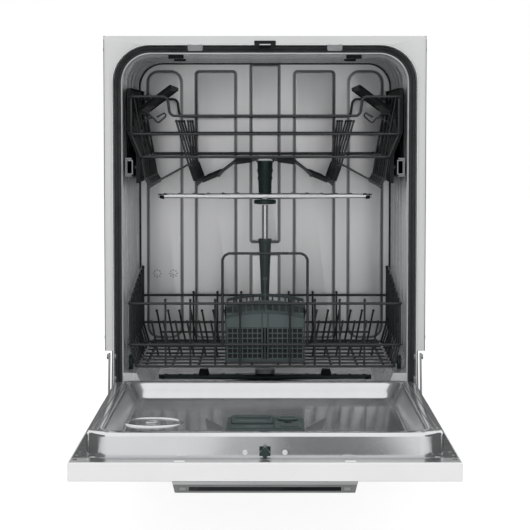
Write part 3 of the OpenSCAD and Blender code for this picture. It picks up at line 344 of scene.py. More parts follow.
def coat(name, colour, rough, tone=0.03, peel=0.08, size=900, gloss=0.0):
    """Paint or powder coating with a fine orange peel."""
    look = Look(name, Coat_Weight=gloss, Coat_Roughness=0.12)
    look.tones(look.noise(6, 4), *around(colour, tone))
    look.roughness(look.spread(look.noise(45, 3), *rough))
    look.bump(look.noise(size, 2), peel, 0.0002)


def moulded(name, colour, rough, tone=0.10, grain=0.25, shine=0.4):
    """Moulded plastic with an etched grain, and lighter where it is rubbed."""
    look = Look(name, Specular_IOR_Level=shine)
    look.tones(look.noise(22, 4), *around(colour, tone), worn=[min(c * 1.5 + 0.01, 0.9) for c in colour])
    look.roughness(look.spread(look.noise(60, 3), *rough))
    broad = look.bump(look.noise(40, 1), 0.08, 0.0006)
    look.bump(look.specks(1600), grain, 0.0001, broad)


def rubber(name, colour):
    look = Look(name, Sheen_Weight=0.2, Sheen_Roughness=0.5)
    look.tones(look.noise(35, 4), *around(colour, 0.2))
    look.roughness(look.spread(look.noise(90, 3), 0.5, 0.72))
    look.bump(look.noise(1400, 2), 0.3, 0.0002)


def glass(name, colour):
    look = Look(name, Coat_Weight=0.3, Coat_Roughness=0.03, Specular_IOR_Level=0.3)
    look.tones(look.noise(12, 2), *around(colour, 0.15))
    look.roughness(look.spread(look.noise(35, 4), 0.05, 0.13))
    look.bump(look.noise(12, 1), 0.04, 0.0006)


def circuit(name, colour, copper):
    """Board lacquer over a fine net of tracks."""
    look = Look(name, Coat_Weight=0.4)
    look.tones(look.specks(260), colour, copper)
    look.roughness(look.spread(look.noise(80, 2), 0.25, 0.4))
    look.bump(look.specks(260), 0.3, 0.0002)


ALONG_Y = (1.0, 0.03, 1.0)
ALONG_Z = (1.0, 1.0, 0.03)
ALONG_X = (0.03, 1.0, 1.0)
NO_GRAIN = (1, 1, 1)
coat("painted_white", (0.80, 0.80, 0.80), (0.28, 0.38), gloss=0.3)
coat("frame_paint", (0.62, 0.625, 0.625), (0.34, 0.46), gloss=0.15)
coat("side_paint", (0.55, 0.56, 0.56), (0.40, 0.52))
coat("rack_coating", (0.018, 0.020, 0.022), (0.26, 0.40), tone=0.15, peel=0.15, size=700, gloss=0.2)
steel("tub_steel", (0.88, 0.89, 0.90), (0.19, 0.27), ALONG_Z, metal=0.55, waves=0.03)
steel("liner_steel", (0.74, 0.75, 0.76), (0.10, 0.16), ALONG_Y, metal=0.88)
steel("back_steel", (0.92, 0.92, 0.93), (0.32, 0.37), ALONG_Z, tone=0.015, metal=0.6)
# groove_steel is a darker steel that paints shade: in the grooves round the back wall's fields, in the outlet
# holes and on the flat slopes beside the dispenser. The door's small triangle stops use it too.
steel("groove_steel", (0.30, 0.305, 0.31), (0.34, 0.44), ALONG_Z)
steel("arm_steel", (0.74, 0.75, 0.76), (0.12, 0.18), ALONG_X)
steel("zinc_steel", (0.30, 0.31, 0.32), (0.34, 0.50), NO_GRAIN, tone=0.12, strength=0.1)
steel("key_metal", (0.55, 0.55, 0.56), (0.26, 0.34), ALONG_X)
moulded("dark_plastic", (0.009, 0.010, 0.011), (0.48, 0.62), shine=0.2)
moulded("green_plastic", (0.012, 0.025, 0.024), (0.30, 0.44))
moulded("grey_plastic", (0.050, 0.066, 0.067), (0.36, 0.50))
moulded("console_grey", (0.15, 0.155, 0.155), (0.30, 0.42))
moulded("black_plastic", (0.022, 0.022, 0.024), (0.42, 0.58), grain=0.4)
moulded("white_plastic", (0.70, 0.70, 0.68), (0.30, 0.42), tone=0.03)
rubber("gasket_rubber", (0.026, 0.028, 0.029))
glass("strip_glass", (0.006, 0.006, 0.008))
circuit("board", (0.012, 0.10, 0.04), (0.10, 0.22, 0.10))

slot_of = {p["node"]: p["material_slot"] for p in frame["record"]["subparts"]}
for node_name, node in frame["nodes"].items():
    finish = finishes[slot_of[node_name]]
    if node.material_slots:
        for place in node.material_slots:
            place.material = finish
    else:
        node.data.materials.append(finish)

# Driving dimensions, some read from the frame

(_, _, panel_foot), (cabinet_half, _, cabinet_top) = span("front_frame")
FRAME_W = 15
FRAME_R = 70
SHEET = 1.2
SEAT = 0.3
MOUTH_D = 48
STEP = 15.4
LEDGE_Z = 186
SILL_Z = 140
RIB_H = 4
RIB_W = 30
RIBS = 5
frame_half = cabinet_half - FRAME_W
frame_top = cabinet_top - FRAME_W
mouth_half = frame_half - SEAT - SHEET
mouth_top = frame_top - SEAT - SHEET
mouth_r = FRAME_R - SEAT - SHEET
chamber_half = mouth_half - STEP
chamber_top = mouth_top - STEP
chamber_r = mouth_r - STEP
wall_y = span("tub_back")[1].y - SHEET
arm_y = sum(c.y for c in span("tower_tube")) / 2

# Tub


def swept_arch(shape, section, half, foot, top, r, steps=14):
    """Sweeps a closed section of (inset, y) pairs along an arch."""
    lines = [arch(half - inset, foot, top - inset, max(r - inset, 3), (), steps) for inset, _ in section]
    shape.skin([[(x, y, z) for (x, z), (_, y) in zip(points, section)] for points in zip(*lines)])


def rib_places():
    return [MOUTH_D + (i + 0.6) * (wall_y - MOUTH_D) / RIBS for i in range(RIBS)]


def rib_rise(y):
    slope = 7
    return sum(RIB_H * smooth((RIB_W / 2 - abs(y - c)) / slope) for c in rib_places())


def tub_wrap():
    """Mouth, step and ribbed chamber as one drawn sheet."""
    legs = [205, 218, 231, 244, 400, 560]
    ribs_from, fade = 214, 30
    stations = [(0.3, 0.0), (20, 0.0), (42, 0.0)]
    stations += [(MOUTH_D - 2 * cos(a), STEP * 0.12 * sin(a)) for a in (0.4, 0.9, 1.4)]
    stations += [(MOUTH_D + y, STEP * part) for y, part in ((0, 0.5), (0.4, 0.88), (1.6, 0.98), (4, 1))]
    half_rib = (8, 9.8, 11.5, 13.2, RIB_W / 2)
    edges = [-e for e in reversed(half_rib)] + [0] + list(half_rib)
    stations += [(c + e, STEP) for c in rib_places() for e in edges]
    stations.append((wall_y - 0.5, STEP))
    rings = []
    for y, inset in stations:
        foot = mix(SILL_Z, LEDGE_Z, smooth((inset / STEP - 0.3) / 0.6))
        half, top, r = mouth_half - inset, mouth_top - inset, mouth_r - inset
        rise = rib_rise(y)

        def line(extra):
            flat = arch(half + extra, foot, top + extra, r + extra, legs)
            deep = arch(half - rise + extra, foot, top - rise + extra, r - rise + extra, legs)
            depths = [smooth((z - ribs_from) / fade) for _, z in flat]
            return [(mix(a[0], b[0], t), y, mix(a[1], b[1], t)) for a, b, t in zip(flat, deep, depths)]

        rings.append(line(0.0) + line(SHEET)[::-1])
    shape = Shape()
    shape.skin(rings)
    piece("tub_wrap_sheet", shape, "cabinet", "tub_steel", ["tub_wrap"], angle=60)


def cushion(shape, x0, z0, x1, z1, r, height=2, soft=5.0, steps=5):
    """A pressed field on the back wall, sunk a little into it at its edge."""
    rings = []
    for k in range(steps + 1):
        t = k / steps
        inset = soft * t
        y = wall_y - height * smooth(t) + (0.4 if k == 0 else 0)
        out = rounded(x0 + inset, z0 + inset, x1 - inset, z1 - inset, max(r - inset, 2), 6)
        rings.append([(px, y, pz) for px, pz in out])
    shape.skin(rings)


def groove(shape, x0, z0, x1, z1, r, wide=2.4):
    """A darker band round a pressed field: painted shade in its groove."""
    section = ((wide, 0.2), (wide, 0.7), (0, 0.9), (-wide, 1.6), (-wide, 0.4))
    loops = [
        [(px, wall_y - depth, pz) for px, pz in rounded(x0 - e, z0 - e, x1 + e, z1 + e, r + e, 6)]
        for e, depth in section
    ]
    shape.skin(loops + loops[:1], caps=False)


def tub_back():
    """Back wall with six pressed fields, two round outlets and a seam, with painted shade round the fields
    and in the outlet holes.
    """
    wall = Shape()
    outline = arch(chamber_half + SHEET, span("tub_back")[0].z, chamber_top + SHEET, chamber_r + SHEET)
    wall.prism(outline, wall_y, wall_y + SHEET, "y")
    foot, top = LEDGE_Z + 20, chamber_top - 20
    fields = []
    for near, far, r in ((174, chamber_half - 20.5, 24), (60.5, 145.5, 8)):
        fields += [(x0, foot, x1, top, r) for x0, x1 in (sorted((side * near, side * far)) for side in SIDES)]
    fields += [(-30.5, 407, 30.5, top + 14, 5), (-30.5, foot, 30.5, 382, 5)]
    # Darker steel bands round the fields and plugs in the outlet holes: painted shade.
    field_shades = Shape()
    for field in fields:
        cushion(wall, *field)
        groove(field_shades, *field)
    outlet_z, holes_r = 341, 7.4
    for x in (-227, -193):
        wall.revolve([(4, wall_y - 1.4), (4, wall_y - 4.5), (3, wall_y - 4.9)], (x, 0, outlet_z), "y", 24)
        # Dark plugs in the outlet's holes: painted shade inside the holes.
        for hole_x, hole_z in circle(x, outlet_z, holes_r, holes_r, 8):
            field_shades.revolve([(1.3, wall_y - 1.4), (1.3, wall_y - 3.2)], (hole_x, 0, hole_z), "y", 8)
    piece("tub_back_wall", wall, "cabinet", "back_steel", ["tub_back"], angle=50)
    piece("tub_back_field_shades", field_shades, "cabinet", "groove_steel", angle=50)
    seam = Shape()
    section = [(0.4, -3), (4.4, -2.4), (6.2, -1.2), (6.6, 0.2), (0.4, 0.2)]
    section = [(inset, wall_y + y) for inset, y in section]
    swept_arch(seam, section, chamber_half, LEDGE_Z + 2, chamber_top, chamber_r)
    piece("tub_back_seam", seam, "cabinet", "rack_coating", angle=50)


def front_frame():
    """Painted frame with rolled edges, and a near-black strip beside it, painted shade along its outer edge.
    """
    fold = 1.3
    deep, edge = 2.0, 0.7
    outer = arch(cabinet_half - fold, panel_foot, cabinet_top, 4, (), 14)
    inner = arch(frame_half, panel_foot, frame_top, FRAME_R, (), 14)
    rings = []
    for (ax, az), (bx, bz) in zip(outer, inner):
        wide = hypot(bx - ax, bz - az)
        ux, uz = (bx - ax) / wide * edge, (bz - az) / wide * edge
        rings.append([
            (ax, deep, az), (ax, edge, az), (ax + ux * 0.4, edge * 0.3, az + uz * 0.4), (ax + ux, 0, az + uz),
            (bx - ux, 0, bz - uz), (bx - ux * 0.4, edge * 0.3, bz - uz * 0.4), (bx, edge, bz), (bx, deep, bz),
        ])
    shape = Shape()
    shape.skin(rings)
    piece("front_frame_paint", shape, "cabinet", "frame_paint", ["front_frame"], angle=50)
    # A near-black strip behind the frame's outer fold: painted shade along the frame's edge.
    seam = Shape()
    seam.block((cabinet_half - fold, 1.2, panel_foot), (cabinet_half - 0.1, 2.2, cabinet_top - 6))
    piece("frame_edge_shade", seam.both_sides(), "cabinet", "rack_coating", bevel=0.2)


def frame_fittings():
    """Stops under the mouth's ceiling, clips over the gasket and the latch's plate."""
    stops = Shape()
    for x0, x1, y in ((154, 183, 91), (156, 179, 250)):
        stops.prism(rounded(x0, y - 5, x1, y + 5, 3, 4), chamber_top - RIB_H - 3, chamber_top + 0.6)
    piece("ceiling_stops", stops.both_sides(), "cabinet", "dark_plastic", bevel=0.6)
    clip_x, clip_half = 129, 14
    clips = Shape()
    clips.prism(circle(clip_x, frame_top + 1.2, clip_half, 2.6, 32), -0.8, 0.4, "y")
    piece("gasket_clips", clips.both_sides(), "cabinet", "frame_paint", bevel=0.3)
    tabs = Shape()
    tab = rounded(clip_x - clip_half, mouth_top - 11, clip_x + clip_half, frame_top - 0.8, 3, 4)
    tabs.prism(tab, -0.6, 0.4, "y")
    piece("gasket_clip_tabs", tabs.both_sides(), "cabinet", "zinc_steel", bevel=0.3)
    striker = Shape()
    striker.prism(rounded(-20, frame_top + 0.4, 20, frame_top + 6.4, 1.5, 4), -1.0, 0.6, "y")
    for x in (-15, 15):
        striker.block((x - 4.6, -1.0, frame_top - 5), (x + 4.6, 0.6, frame_top + 1))
    piece("striker_plate", striker, "cabinet", "dark_plastic", bevel=0.3)


def pressed_field(shape, a0, b0, a1, b1, place, r=24):
    """A low raised field with soft edges; place puts (a, b, rise) on its sheet."""
    slope = ((0, -0.2), (1, 0.3), (3.5, 1.8), (5, 2.1))
    shape.skin([
        [place(a, b, rise) for a, b in rounded(a0 + inset, b0 + inset, a1 - inset, b1 - inset, r - inset, 8)]
        for inset, rise in slope
    ])


def outer_sheets():
    """Pressed fields and screws of the side sheets, the back and the top."""
    back = span("back_panel")[1].y
    high = cabinet_top - 60
    sides = Shape()
    pressed_field(sides, 70, panel_foot + 60, back - 70, high, lambda a, b, rise: (cabinet_half + rise, a, b))
    piece("side_fields", sides.both_sides(), "cabinet", "side_paint", angle=60)
    rear = Shape()
    halves = ((-cabinet_half + 55, -12), (12, cabinet_half - 55))
    for x0, x1 in halves:
        pressed_field(rear, x0, panel_foot + 90, x1, high, lambda a, b, rise: (a, back + rise, b))
    for x0, x1 in halves:
        pressed_field(rear, x0, 80, x1, back - 45, lambda a, b, rise: (a, b, cabinet_top + rise))
    piece("zinc_fields", rear, "cabinet", "zinc_steel", angle=60)
    head = [(4.2, -0.2), (4.1, 1.0), (3.0, 2.0), (1.4, 2.1), (1.2, 1.4)]
    in_from_edge = 22
    low, top = panel_foot + 24, cabinet_top - 24
    screws = Shape()
    for z in (low, (panel_foot + cabinet_top) / 2, top):
        screws.revolve(head, (cabinet_half - 10, back, z), "y", 16)
        screws.revolve(head, (cabinet_half, back - in_from_edge, z), "x", 16)
    for z in (low, top):
        screws.revolve(head, (cabinet_half, in_from_edge, z), "x", 16)
    piece("sheet_screws", screws.both_sides(), "cabinet", "key_metal")


def door_gasket():
    lo, hi = span("door_gasket")
    y0, y1 = lo.y, hi.y
    section = [
        (0.3, y1), (0.3, y0 + 2), (1.2, y0 + 0.4), (3, y0), (5, y0 + 0.6), (6.2, y0 + 2.4), (8.2, y0 + 1.0),
        (10.6, y0 + 0.6), (12.4, y0 + 2.0), (13, y0 + 4.2), (12.6, y1 - 1.5), (11, y1),
    ]
    shape = Shape()
    swept_arch(shape, section, mouth_half, lo.z, mouth_top, mouth_r)
    piece("gasket_profile", shape, "cabinet", "gasket_rubber", ["door_gasket"], angle=50)


tub_wrap()
tub_back()
front_frame()
frame_fittings()
outer_sheets()
door_gasket()

# Door

door_lo, door_hi = span("door_outer_panel")
liner_lo, liner_hi = span("door_liner")
HINGE_Y = -30
LINER_R = 40
RIM_W = 26
RECESS = 30
corner_y = HINGE_Y - 21
recess_z = liner_hi.z - RECESS


def door_panel():
    """Folded outer door, its lower corners cut away for the hinges."""
    x, notch = door_hi.x, 282.7
    near, far = door_lo.y, door_hi.y
    right = [(x, near), (x, corner_y), (notch, corner_y), (notch, far)]
    shape = Shape()
    shape.prism([(-x, near)] + right + [(-px, py) for px, py in right[:0:-1]], door_lo.z, door_hi.z)
    piece("door_panel_white", shape, "door", "painted_white", ["door_outer_panel"], bevel=1.6, segments=3)


def door_liner():
    """Deep-drawn inner door: skirt, round rim, sloping walls and flat floor."""
    x, near, far = liner_hi.x, liner_lo.y, liner_hi.y
    top, low = liner_hi.z, liner_lo.z
    rim_r = 5
    slope, far_slope = 18, 35
    hi_x, hi_near, hi_far = x - RIM_W, near + RIM_W, far - 12
    lo_x, lo_near, lo_far = hi_x - slope, hi_near + slope, hi_far - far_slope

    def ring(inset, z):
        out = rounded(-x + inset, near + inset, x - inset, far - inset, max(LINER_R - inset, 5), 12)
        return [(px, py, z) for px, py in out]

    def wall(t, z, push=0.0):
        half = mix(hi_x, lo_x, t) + push
        y0, y1 = mix(hi_near, lo_near, t) - push, mix(hi_far, lo_far, t) + push
        return [(px, py, z) for px, py in rounded(-half, y0, half, y1, mix(30, 20, t) + push, 12)]

    rings = [ring(3, low), ring(0.8, low + 0.2), ring(0, low + 2), ring(0, low + 3), ring(0, top - rim_r - 1)]
    for k in range(5):
        a = radians(90 * k / 4)
        rings.append(ring(rim_r * (1 - cos(a)), top - rim_r + rim_r * sin(a)))
    rings += [wall(0, top, 3.5), wall(0, top - 0.4, 1.2), wall(0.04, top - 1.8), wall(0.12, top - 4.4)]
    rings += [wall(0.5, mix(top, recess_z, 0.5)), wall(0.86, recess_z + 4.6), wall(0.95, recess_z + 1.6)]
    rings += [wall(1.0, recess_z + 0.5, -1.5), wall(1.0, recess_z, -4.5)]
    shape = Shape()
    shape.skin(rings)
    piece("door_liner_steel", shape, "door", "liner_steel", ["door_liner"], angle=50)


def liner_beads():
    """Beads along the rim, and the vent's two rings."""
    x, top = liner_hi.x, liner_hi.z - 0.7
    beads = Shape()
    for a, b in ((x - 9, x - 17), (x - 17, x - 25)):
        beads.tube([(a, liner_lo.y + 48, top), (b, liner_hi.y - 54, top)], 2.6)
    beads.both_sides()
    vent = (-190, -381, recess_z)
    outer = [(45.4, -0.4), (46.4, 0.3), (47.6, 1.4), (49.4, 2.2), (51.2, 2.0), (52.6, 0.9), (53.2, -0.4)]
    inner = [(2, 0.6), (9, 0.7), (10, 1.5), (11, 0.6)]
    beads.revolve(outer, vent, "z", 64)
    beads.revolve(inner, vent, "z", 32)
    piece("door_liner_beads", beads, "door", "liner_steel", angle=50)


def door_trim():
    """Near-black strips on the top beside the liner, painted shade of the gap there; corner screws, stops,
    and flat dark slopes beside the dispenser, painted shade of sloped facets.
    """
    x, near, top = door_hi.x, door_lo.y, door_hi.z
    edge = 2.4
    liner_y = liner_lo.y + 8
    side = liner_hi.x - 6
    # Near-black strips on the door's top beside the liner: painted shade of the gap between liner and panel.
    skin = Shape()
    for a, b in ((-x + edge, -side), (side, x - edge)):
        skin.block((a, liner_y, top - 0.2), (b, corner_y - edge, top + 0.5))
    piece("door_gap_shade", skin, "door", "rack_coating", bevel=0.2)
    strip = Shape()
    strip.block((-x + edge, near + edge, top - 0.2), (x - edge, liner_y, top + 0.5))
    piece("door_front_strip", strip, "door", "key_metal", bevel=0.2)
    head = [(3.4, 0.3), (3.3, 1.4), (2.4, 2.2), (1.2, 2.3), (1.0, 1.6)]
    screws = Shape()
    for sx, sy in ((x - 9, near + 60), (x - 12, near + 90), (x - 9, near + 26), (x - 9, -120)):
        screws.revolve(head, (sx, sy, top), "z", 16)
    piece("door_skin_screws", screws.both_sides(), "door", "zinc_steel")
    stops = Shape()
    mark = [(239, liner_lo.y + 9), (246, liner_lo.y + 9), (242.5, liner_lo.y + 21)]
    stops.prism(mark, liner_hi.z - 0.4, liner_hi.z + 1.2)
    lo, hi = span("dispenser_body")
    # Flat plates in the darker groove steel beside the dispenser: painted shade of sloped facets.
    slope = [(hi.x + 2, lo.y + 24), (hi.x + 2, lo.y - 3), (hi.x + 30, lo.y + 16), (hi.x + 37, hi.y + 4)]
    stops.prism(slope, recess_z - 0.2, recess_z + 0.9)
    piece("door_stops_slope_shade", stops.both_sides(), "door", "groove_steel", bevel=0.4)


CUP_X = (-50, 8)


def dispenser_case():
    """Rimmed case with an open cup, the lid's rails, a catch, a window and ribs."""
    lo, hi = span("dispenser_body")
    x0, x1, y0, y1, top = lo.x, hi.x, lo.y, hi.y, hi.z
    rim, step = 4.6, 4
    cup_x0, cup_x1 = CUP_X
    cup_y0, cup_y1 = y0 + 48, y1 - 10
    low = recess_z - 24
    body = Shape()

    def blocks(z0, z1, *boxes):
        for ax, ay, bx, by in boxes:
            body.block((ax, ay, z0), (bx, by, z1))

    in_x0, in_x1, in_y0, in_y1 = x0 + step, x1 - step, y0 + step, y1 - step
    blocks(recess_z - 0.4, recess_z + 2.4, (x0, y0, x1, y0 + rim), (x0, y1 - rim, x1, y1),
           (x0, in_y0, x0 + rim, in_y1), (x1 - rim, in_y0, x1, in_y1))
    blocks(low - 1.5, top, (in_x0, in_y0, in_x1, cup_y0), (in_x0, cup_y1, cup_x1 + 1, in_y1),
           (in_x0, cup_y0 - 1, cup_x0, cup_y1 + 1), (cup_x1, cup_y0 - 1, in_x1, in_y1))
    blocks(low - 1.6, low, (cup_x0 - 1, cup_y0 - 1, cup_x1 + 1, cup_y1 + 1))
    blocks(top - 0.2, top + 2.2, *((x, y0 + 6, x + 1.4, y1 - 5) for x in (cup_x0 - 7.6, cup_x1 + 6.4)))
    blocks(top - 0.2, top + 0.1, (-34, y0 + 12, -8, y0 + 30))
    blocks(top - 0.2, top + 1.6, (27, y0 + 12, 56, y0 + 17))
    blocks(top - 0.2, top + 0.9, *((26 + i * 6.6, y0 + 24, 29 + i * 6.6, y0 + 52) for i in range(5)))
    piece("dispenser_case", body, "door", "grey_plastic", ["dispenser_body"], bevel=0.6)
    window = Shape()
    window.revolve([(6.5, -0.4), (6.2, 1.0), (4.6, 1.7), (1, 1.8)], (38, y0 + 62, top), "z", 24)
    piece("rinse_window", window, "door", "strip_glass")


def dispenser_lid():
    """Sliding lid with a grip bar and three ribs."""
    lo, hi = span("dispenser_lid")
    face = lo.z + 3
    bar_y, bar_half = hi.y - 31, 11
    lid = Shape()
    lid.prism(rounded(lo.x, lo.y, hi.x, hi.y, 5, 5), lo.z, face)
    lid.prism(rounded(CUP_X[0], bar_y - bar_half, CUP_X[1], bar_y + bar_half, 4, 5), face - 0.4, hi.z)
    for i in range(3):
        y = lo.y + 8 + i * 6
        lid.block((CUP_X[0] + 6, y, face - 0.3), (CUP_X[1] - 6, y + 2, face + 0.9))
    piece("dispenser_slide", lid, "detergent_lid", "grey_plastic", ["dispenser_lid"], bevel=0.9)


def rinse_cap():
    """Knurled cap with a bar to turn it by."""
    lo, hi = span("rinse_cap")
    x, y = (lo.x + hi.x) / 2, (lo.y + hi.y) / 2
    face = lo.z + 12.5
    rim, knurls = 16.8, 20
    cap = Shape()
    profile = [
        (9, lo.z), (11.7, lo.z), (11.7, face - 3.6), (16.6, face - 3.4), (17, face - 2.6), (17, face - 1),
        (16, face), (13, face + 0.1), (12.4, face - 0.8), (2, face - 0.8),
    ]
    cap.revolve(profile, (x, y, 0), "z", 40)
    cap.block((x - 13, y - 3, face - 1), (x + 13, y + 3, hi.z))
    for knurl_x, knurl_y in circle(x, y, rim, rim, knurls):
        cap.revolve([(0.9, face - 3.2), (0.9, face - 0.6)], (knurl_x, knurl_y, 0), "z", 6)
    piece("rinse_knob", cap, "rinse_lid", "grey_plastic", ["rinse_cap"], angle=40)


def door_console():
    """Slanted end cheeks, a bright upper strip, the window's face and the grip behind."""
    lo, hi = span("door_console")
    half, near, far, low, top = hi.x, lo.y, hi.y, lo.z, hi.z
    slant = 4.4
    face_y = near + 2.4
    key, play = span("power_key"), 0.3
    glass_half = span("display_glass")[1].x + 0.2
    key_in, key_out = span("start_key")[0].x - play, span("start_key")[1].x + play
    slot_low, slot_high = key[0].z - play, key[1].z + play
    body = Shape()

    def half_at(z):
        return mix(half - slant, half, (z - low) / (top - low))

    def band(shape, z0, z1, y0, y1, inset=0.0):
        w0, w1 = half_at(z0) - inset, half_at(z1) - inset
        shape.prism([(-w0, z0), (w0, z0), (w1, z1), (-w1, z1)], y0, y1, "y")

    band(body, low, slot_low, near, face_y)
    band(body, slot_high, top - 4.6, near, face_y)
    for side in SIDES:
        a, b = sorted((side * glass_half, side * key_in))
        body.block((a, near, slot_low - 0.2), (b, face_y, slot_high + 0.2))
        cheek = [(key_out, slot_low - 0.2), (half_at(slot_low), slot_low - 0.2)]
        cheek += [(half_at(slot_high), slot_high + 0.2), (key_out, slot_high + 0.2)]
        body.prism([(side * x, z) for x, z in cheek], near, face_y, "y")
        a, b = sorted((side * (half - 12), side * (half - slant - 0.2)))
        body.block((a, near + 2, low), (b, far, top - 0.4))
    band(body, top - 3, top, near + 1, far)
    band(body, low, low + 2, near + 1, near + 38)
    band(body, low, top, near + 36, near + 38, 6)
    band(body, low, top, far - 6, far)
    piece("console_shell", body, "door", "console_grey", ["door_console"], bevel=0.5)
    strip = Shape()
    band(strip, top - 4.5, top - 0.1, near - 0.3, near + 2)
    piece("console_strip", strip, "door", "key_metal", bevel=0.5)


door_liner()
liner_beads()
door_panel()
door_trim()
dispenser_case()
dispenser_lid()
rinse_cap()
door_console()

# Racks

WIRE = 5.0
TINE = 4.0
RACK_FRONT = 42
RACK_REAR = 478
UPPER_HALF = 254
UPPER_RIM_Z = 594
UPPER_TOP_Z = 707
UPPER_DIP_Z = 671
upper_foot = UPPER_HALF - 22
rack_mid_z = UPPER_TOP_Z - 70
post_out = (WIRE + TINE) / 2 - 0.8
side_start = RACK_FRONT + WIRE + TINE + SEAT
side_end = RACK_REAR - WIRE - TINE - SEAT


def upper_posts():
    return [side_start + (i + 0.5) * (side_end - side_start) / 4 for i in range(4)]


def upper_frame():
    """Top, middle and lower wires all round, the front and rear ones dipped, and the posts."""
    corner = 16
    post_x = UPPER_HALF - 3
    shape = Shape()
    for y, inward, d in ((RACK_FRONT, 1, WIRE), (RACK_REAR, -1, WIRE + 1)):
        rail = [
            (UPPER_HALF, y + inward * corner * 1.6, UPPER_TOP_Z), (UPPER_HALF, y, UPPER_TOP_Z),
            (188, y, UPPER_TOP_Z), (182, y, UPPER_TOP_Z - 6),
            (179, y, UPPER_DIP_Z + 6), (173, y, UPPER_DIP_Z),
        ]
        shape.tube(mirrored(rail), WIRE, bend=11)
        middle = [(post_x, y + inward * corner, rack_mid_z), (post_x, y, rack_mid_z)]
        shape.tube(mirrored(middle), WIRE, bend=9)
        rim = [(upper_foot, y + inward * corner * 1.4, UPPER_RIM_Z), (upper_foot, y, UPPER_RIM_Z)]
        shape.tube(mirrored(rim), d, bend=11)
        post = [(upper_foot, UPPER_RIM_Z - 2), (post_x, rack_mid_z), (post_x, UPPER_TOP_Z + 1)]
        for side in SIDES:
            shape.tube([(side * x, y + inward * post_out, z) for x, z in post], TINE, bend=18)
    sides = Shape()
    lean = (UPPER_HALF - upper_foot) / (UPPER_TOP_Z - UPPER_RIM_Z)
    mid_x = upper_foot + lean * (rack_mid_z - UPPER_RIM_Z)
    y0, y1 = RACK_FRONT + 8, RACK_REAR - 8
    sides.tube([(UPPER_HALF, y0 + 4, UPPER_TOP_Z), (UPPER_HALF, y1 - 4, UPPER_TOP_Z)], WIRE, ends="flat")
    sides.tube([(mid_x, side_start, rack_mid_z), (mid_x, side_end, rack_mid_z)], WIRE)
    sides.tube([(upper_foot, y0 + 2, UPPER_RIM_Z), (upper_foot, y1 - 2, UPPER_RIM_Z)], WIRE, ends="flat")
    for y in upper_posts():
        foot, head = (upper_foot - post_out, y, UPPER_RIM_Z - 2), (UPPER_HALF - post_out, y, UPPER_TOP_Z + 2)
        sides.tube([foot, head], TINE, ends="ball")
    sides.both_sides()
    shape.add(sides.verts, sides.faces)
    wire_piece("upper_rack_wires", shape, "upper_rack", "upper_basket_walls")


FLOOR_ROWS = 7
row_pitch = (RACK_REAR - RACK_FRONT) / FLOOR_ROWS
upper_floor_z = UPPER_RIM_Z - 3.3


def upper_floor():
    """Folded cross wires, long wires under them and leaning cup tines."""
    z = upper_floor_z
    section = [
        (-upper_foot, z + 0.2), (-upper_foot + 6, z - 36), (-218, z - 51), (-141, z - 9), (-127, z - 46),
        (-120, z - 43), (-86, z - 29), (-59, z - 8), (-15, z - 2),
    ]
    shape = Shape()
    for i in [0.2, *range(1, FLOOR_ROWS), FLOOR_ROWS - 0.2]:
        shape.tube([(px, RACK_FRONT + i * row_pitch, pz) for px, pz in section], TINE, bend=7, ends="flat")

    def long_wire(x, low, gap):
        shape.tube([(x, RACK_FRONT + gap * row_pitch, low), (x, RACK_REAR - gap * row_pitch, low)], TINE)

    for x, drop in ((upper_foot - 6, 36), (218, 51), (127, 46), (86, 29), (15, 2)):
        long_wire(-x, z - drop - 3.5, 0.1)
    foot_x = -133.6
    long_wire(foot_x, z - 41.2, 0.3)
    for i in range(FLOOR_ROWS):
        y = RACK_FRONT + (i + 0.5) * row_pitch
        tip_x = -168 if i % 2 == 0 else -148
        tine = [(foot_x, y, z - 42.2), (mix(foot_x, tip_x, 0.25), y, z - 18), (tip_x, y, z + 72)]
        shape.tube(tine, TINE, bend=20, ends="ball")
    shape.both_sides()
    shape.tube([(-16, arm_y, z - 2), (16, arm_y, z - 2)], TINE, ends="flat")
    wire_piece("upper_rack_floor", shape, "upper_rack", "upper_basket_floor")


def rack_rests():
    """Rubber rests with rings on the floor's folds."""
    z = upper_floor_z
    folds = (
        ((-139.5, z - 13), (-128.5, z - 42), 8),
        ((-119, z - 42.6), (-88, z - 29.8), 6.6),
        ((-57, z - 7.7), (-24, z - 3.2), 7),
    )
    rings, half_ring = 7, 0.02
    rests = Shape()
    for i in [0.2, *range(2, FLOOR_ROWS, 2)]:
        for a, b, d in folds:
            def at(t):
                return mix(a[0], b[0], t), RACK_FRONT + i * row_pitch, mix(a[1], b[1], t)

            rests.tube([at(0), at(1)], d)
            for k in range(rings):
                t = (k + 0.5) / rings
                rests.tube([at(t - half_ring), at(t + half_ring)], d + 1.6, ends="flat")
    piece("rack_rests", rests.both_sides(), "upper_rack", "dark_plastic", angle=50)


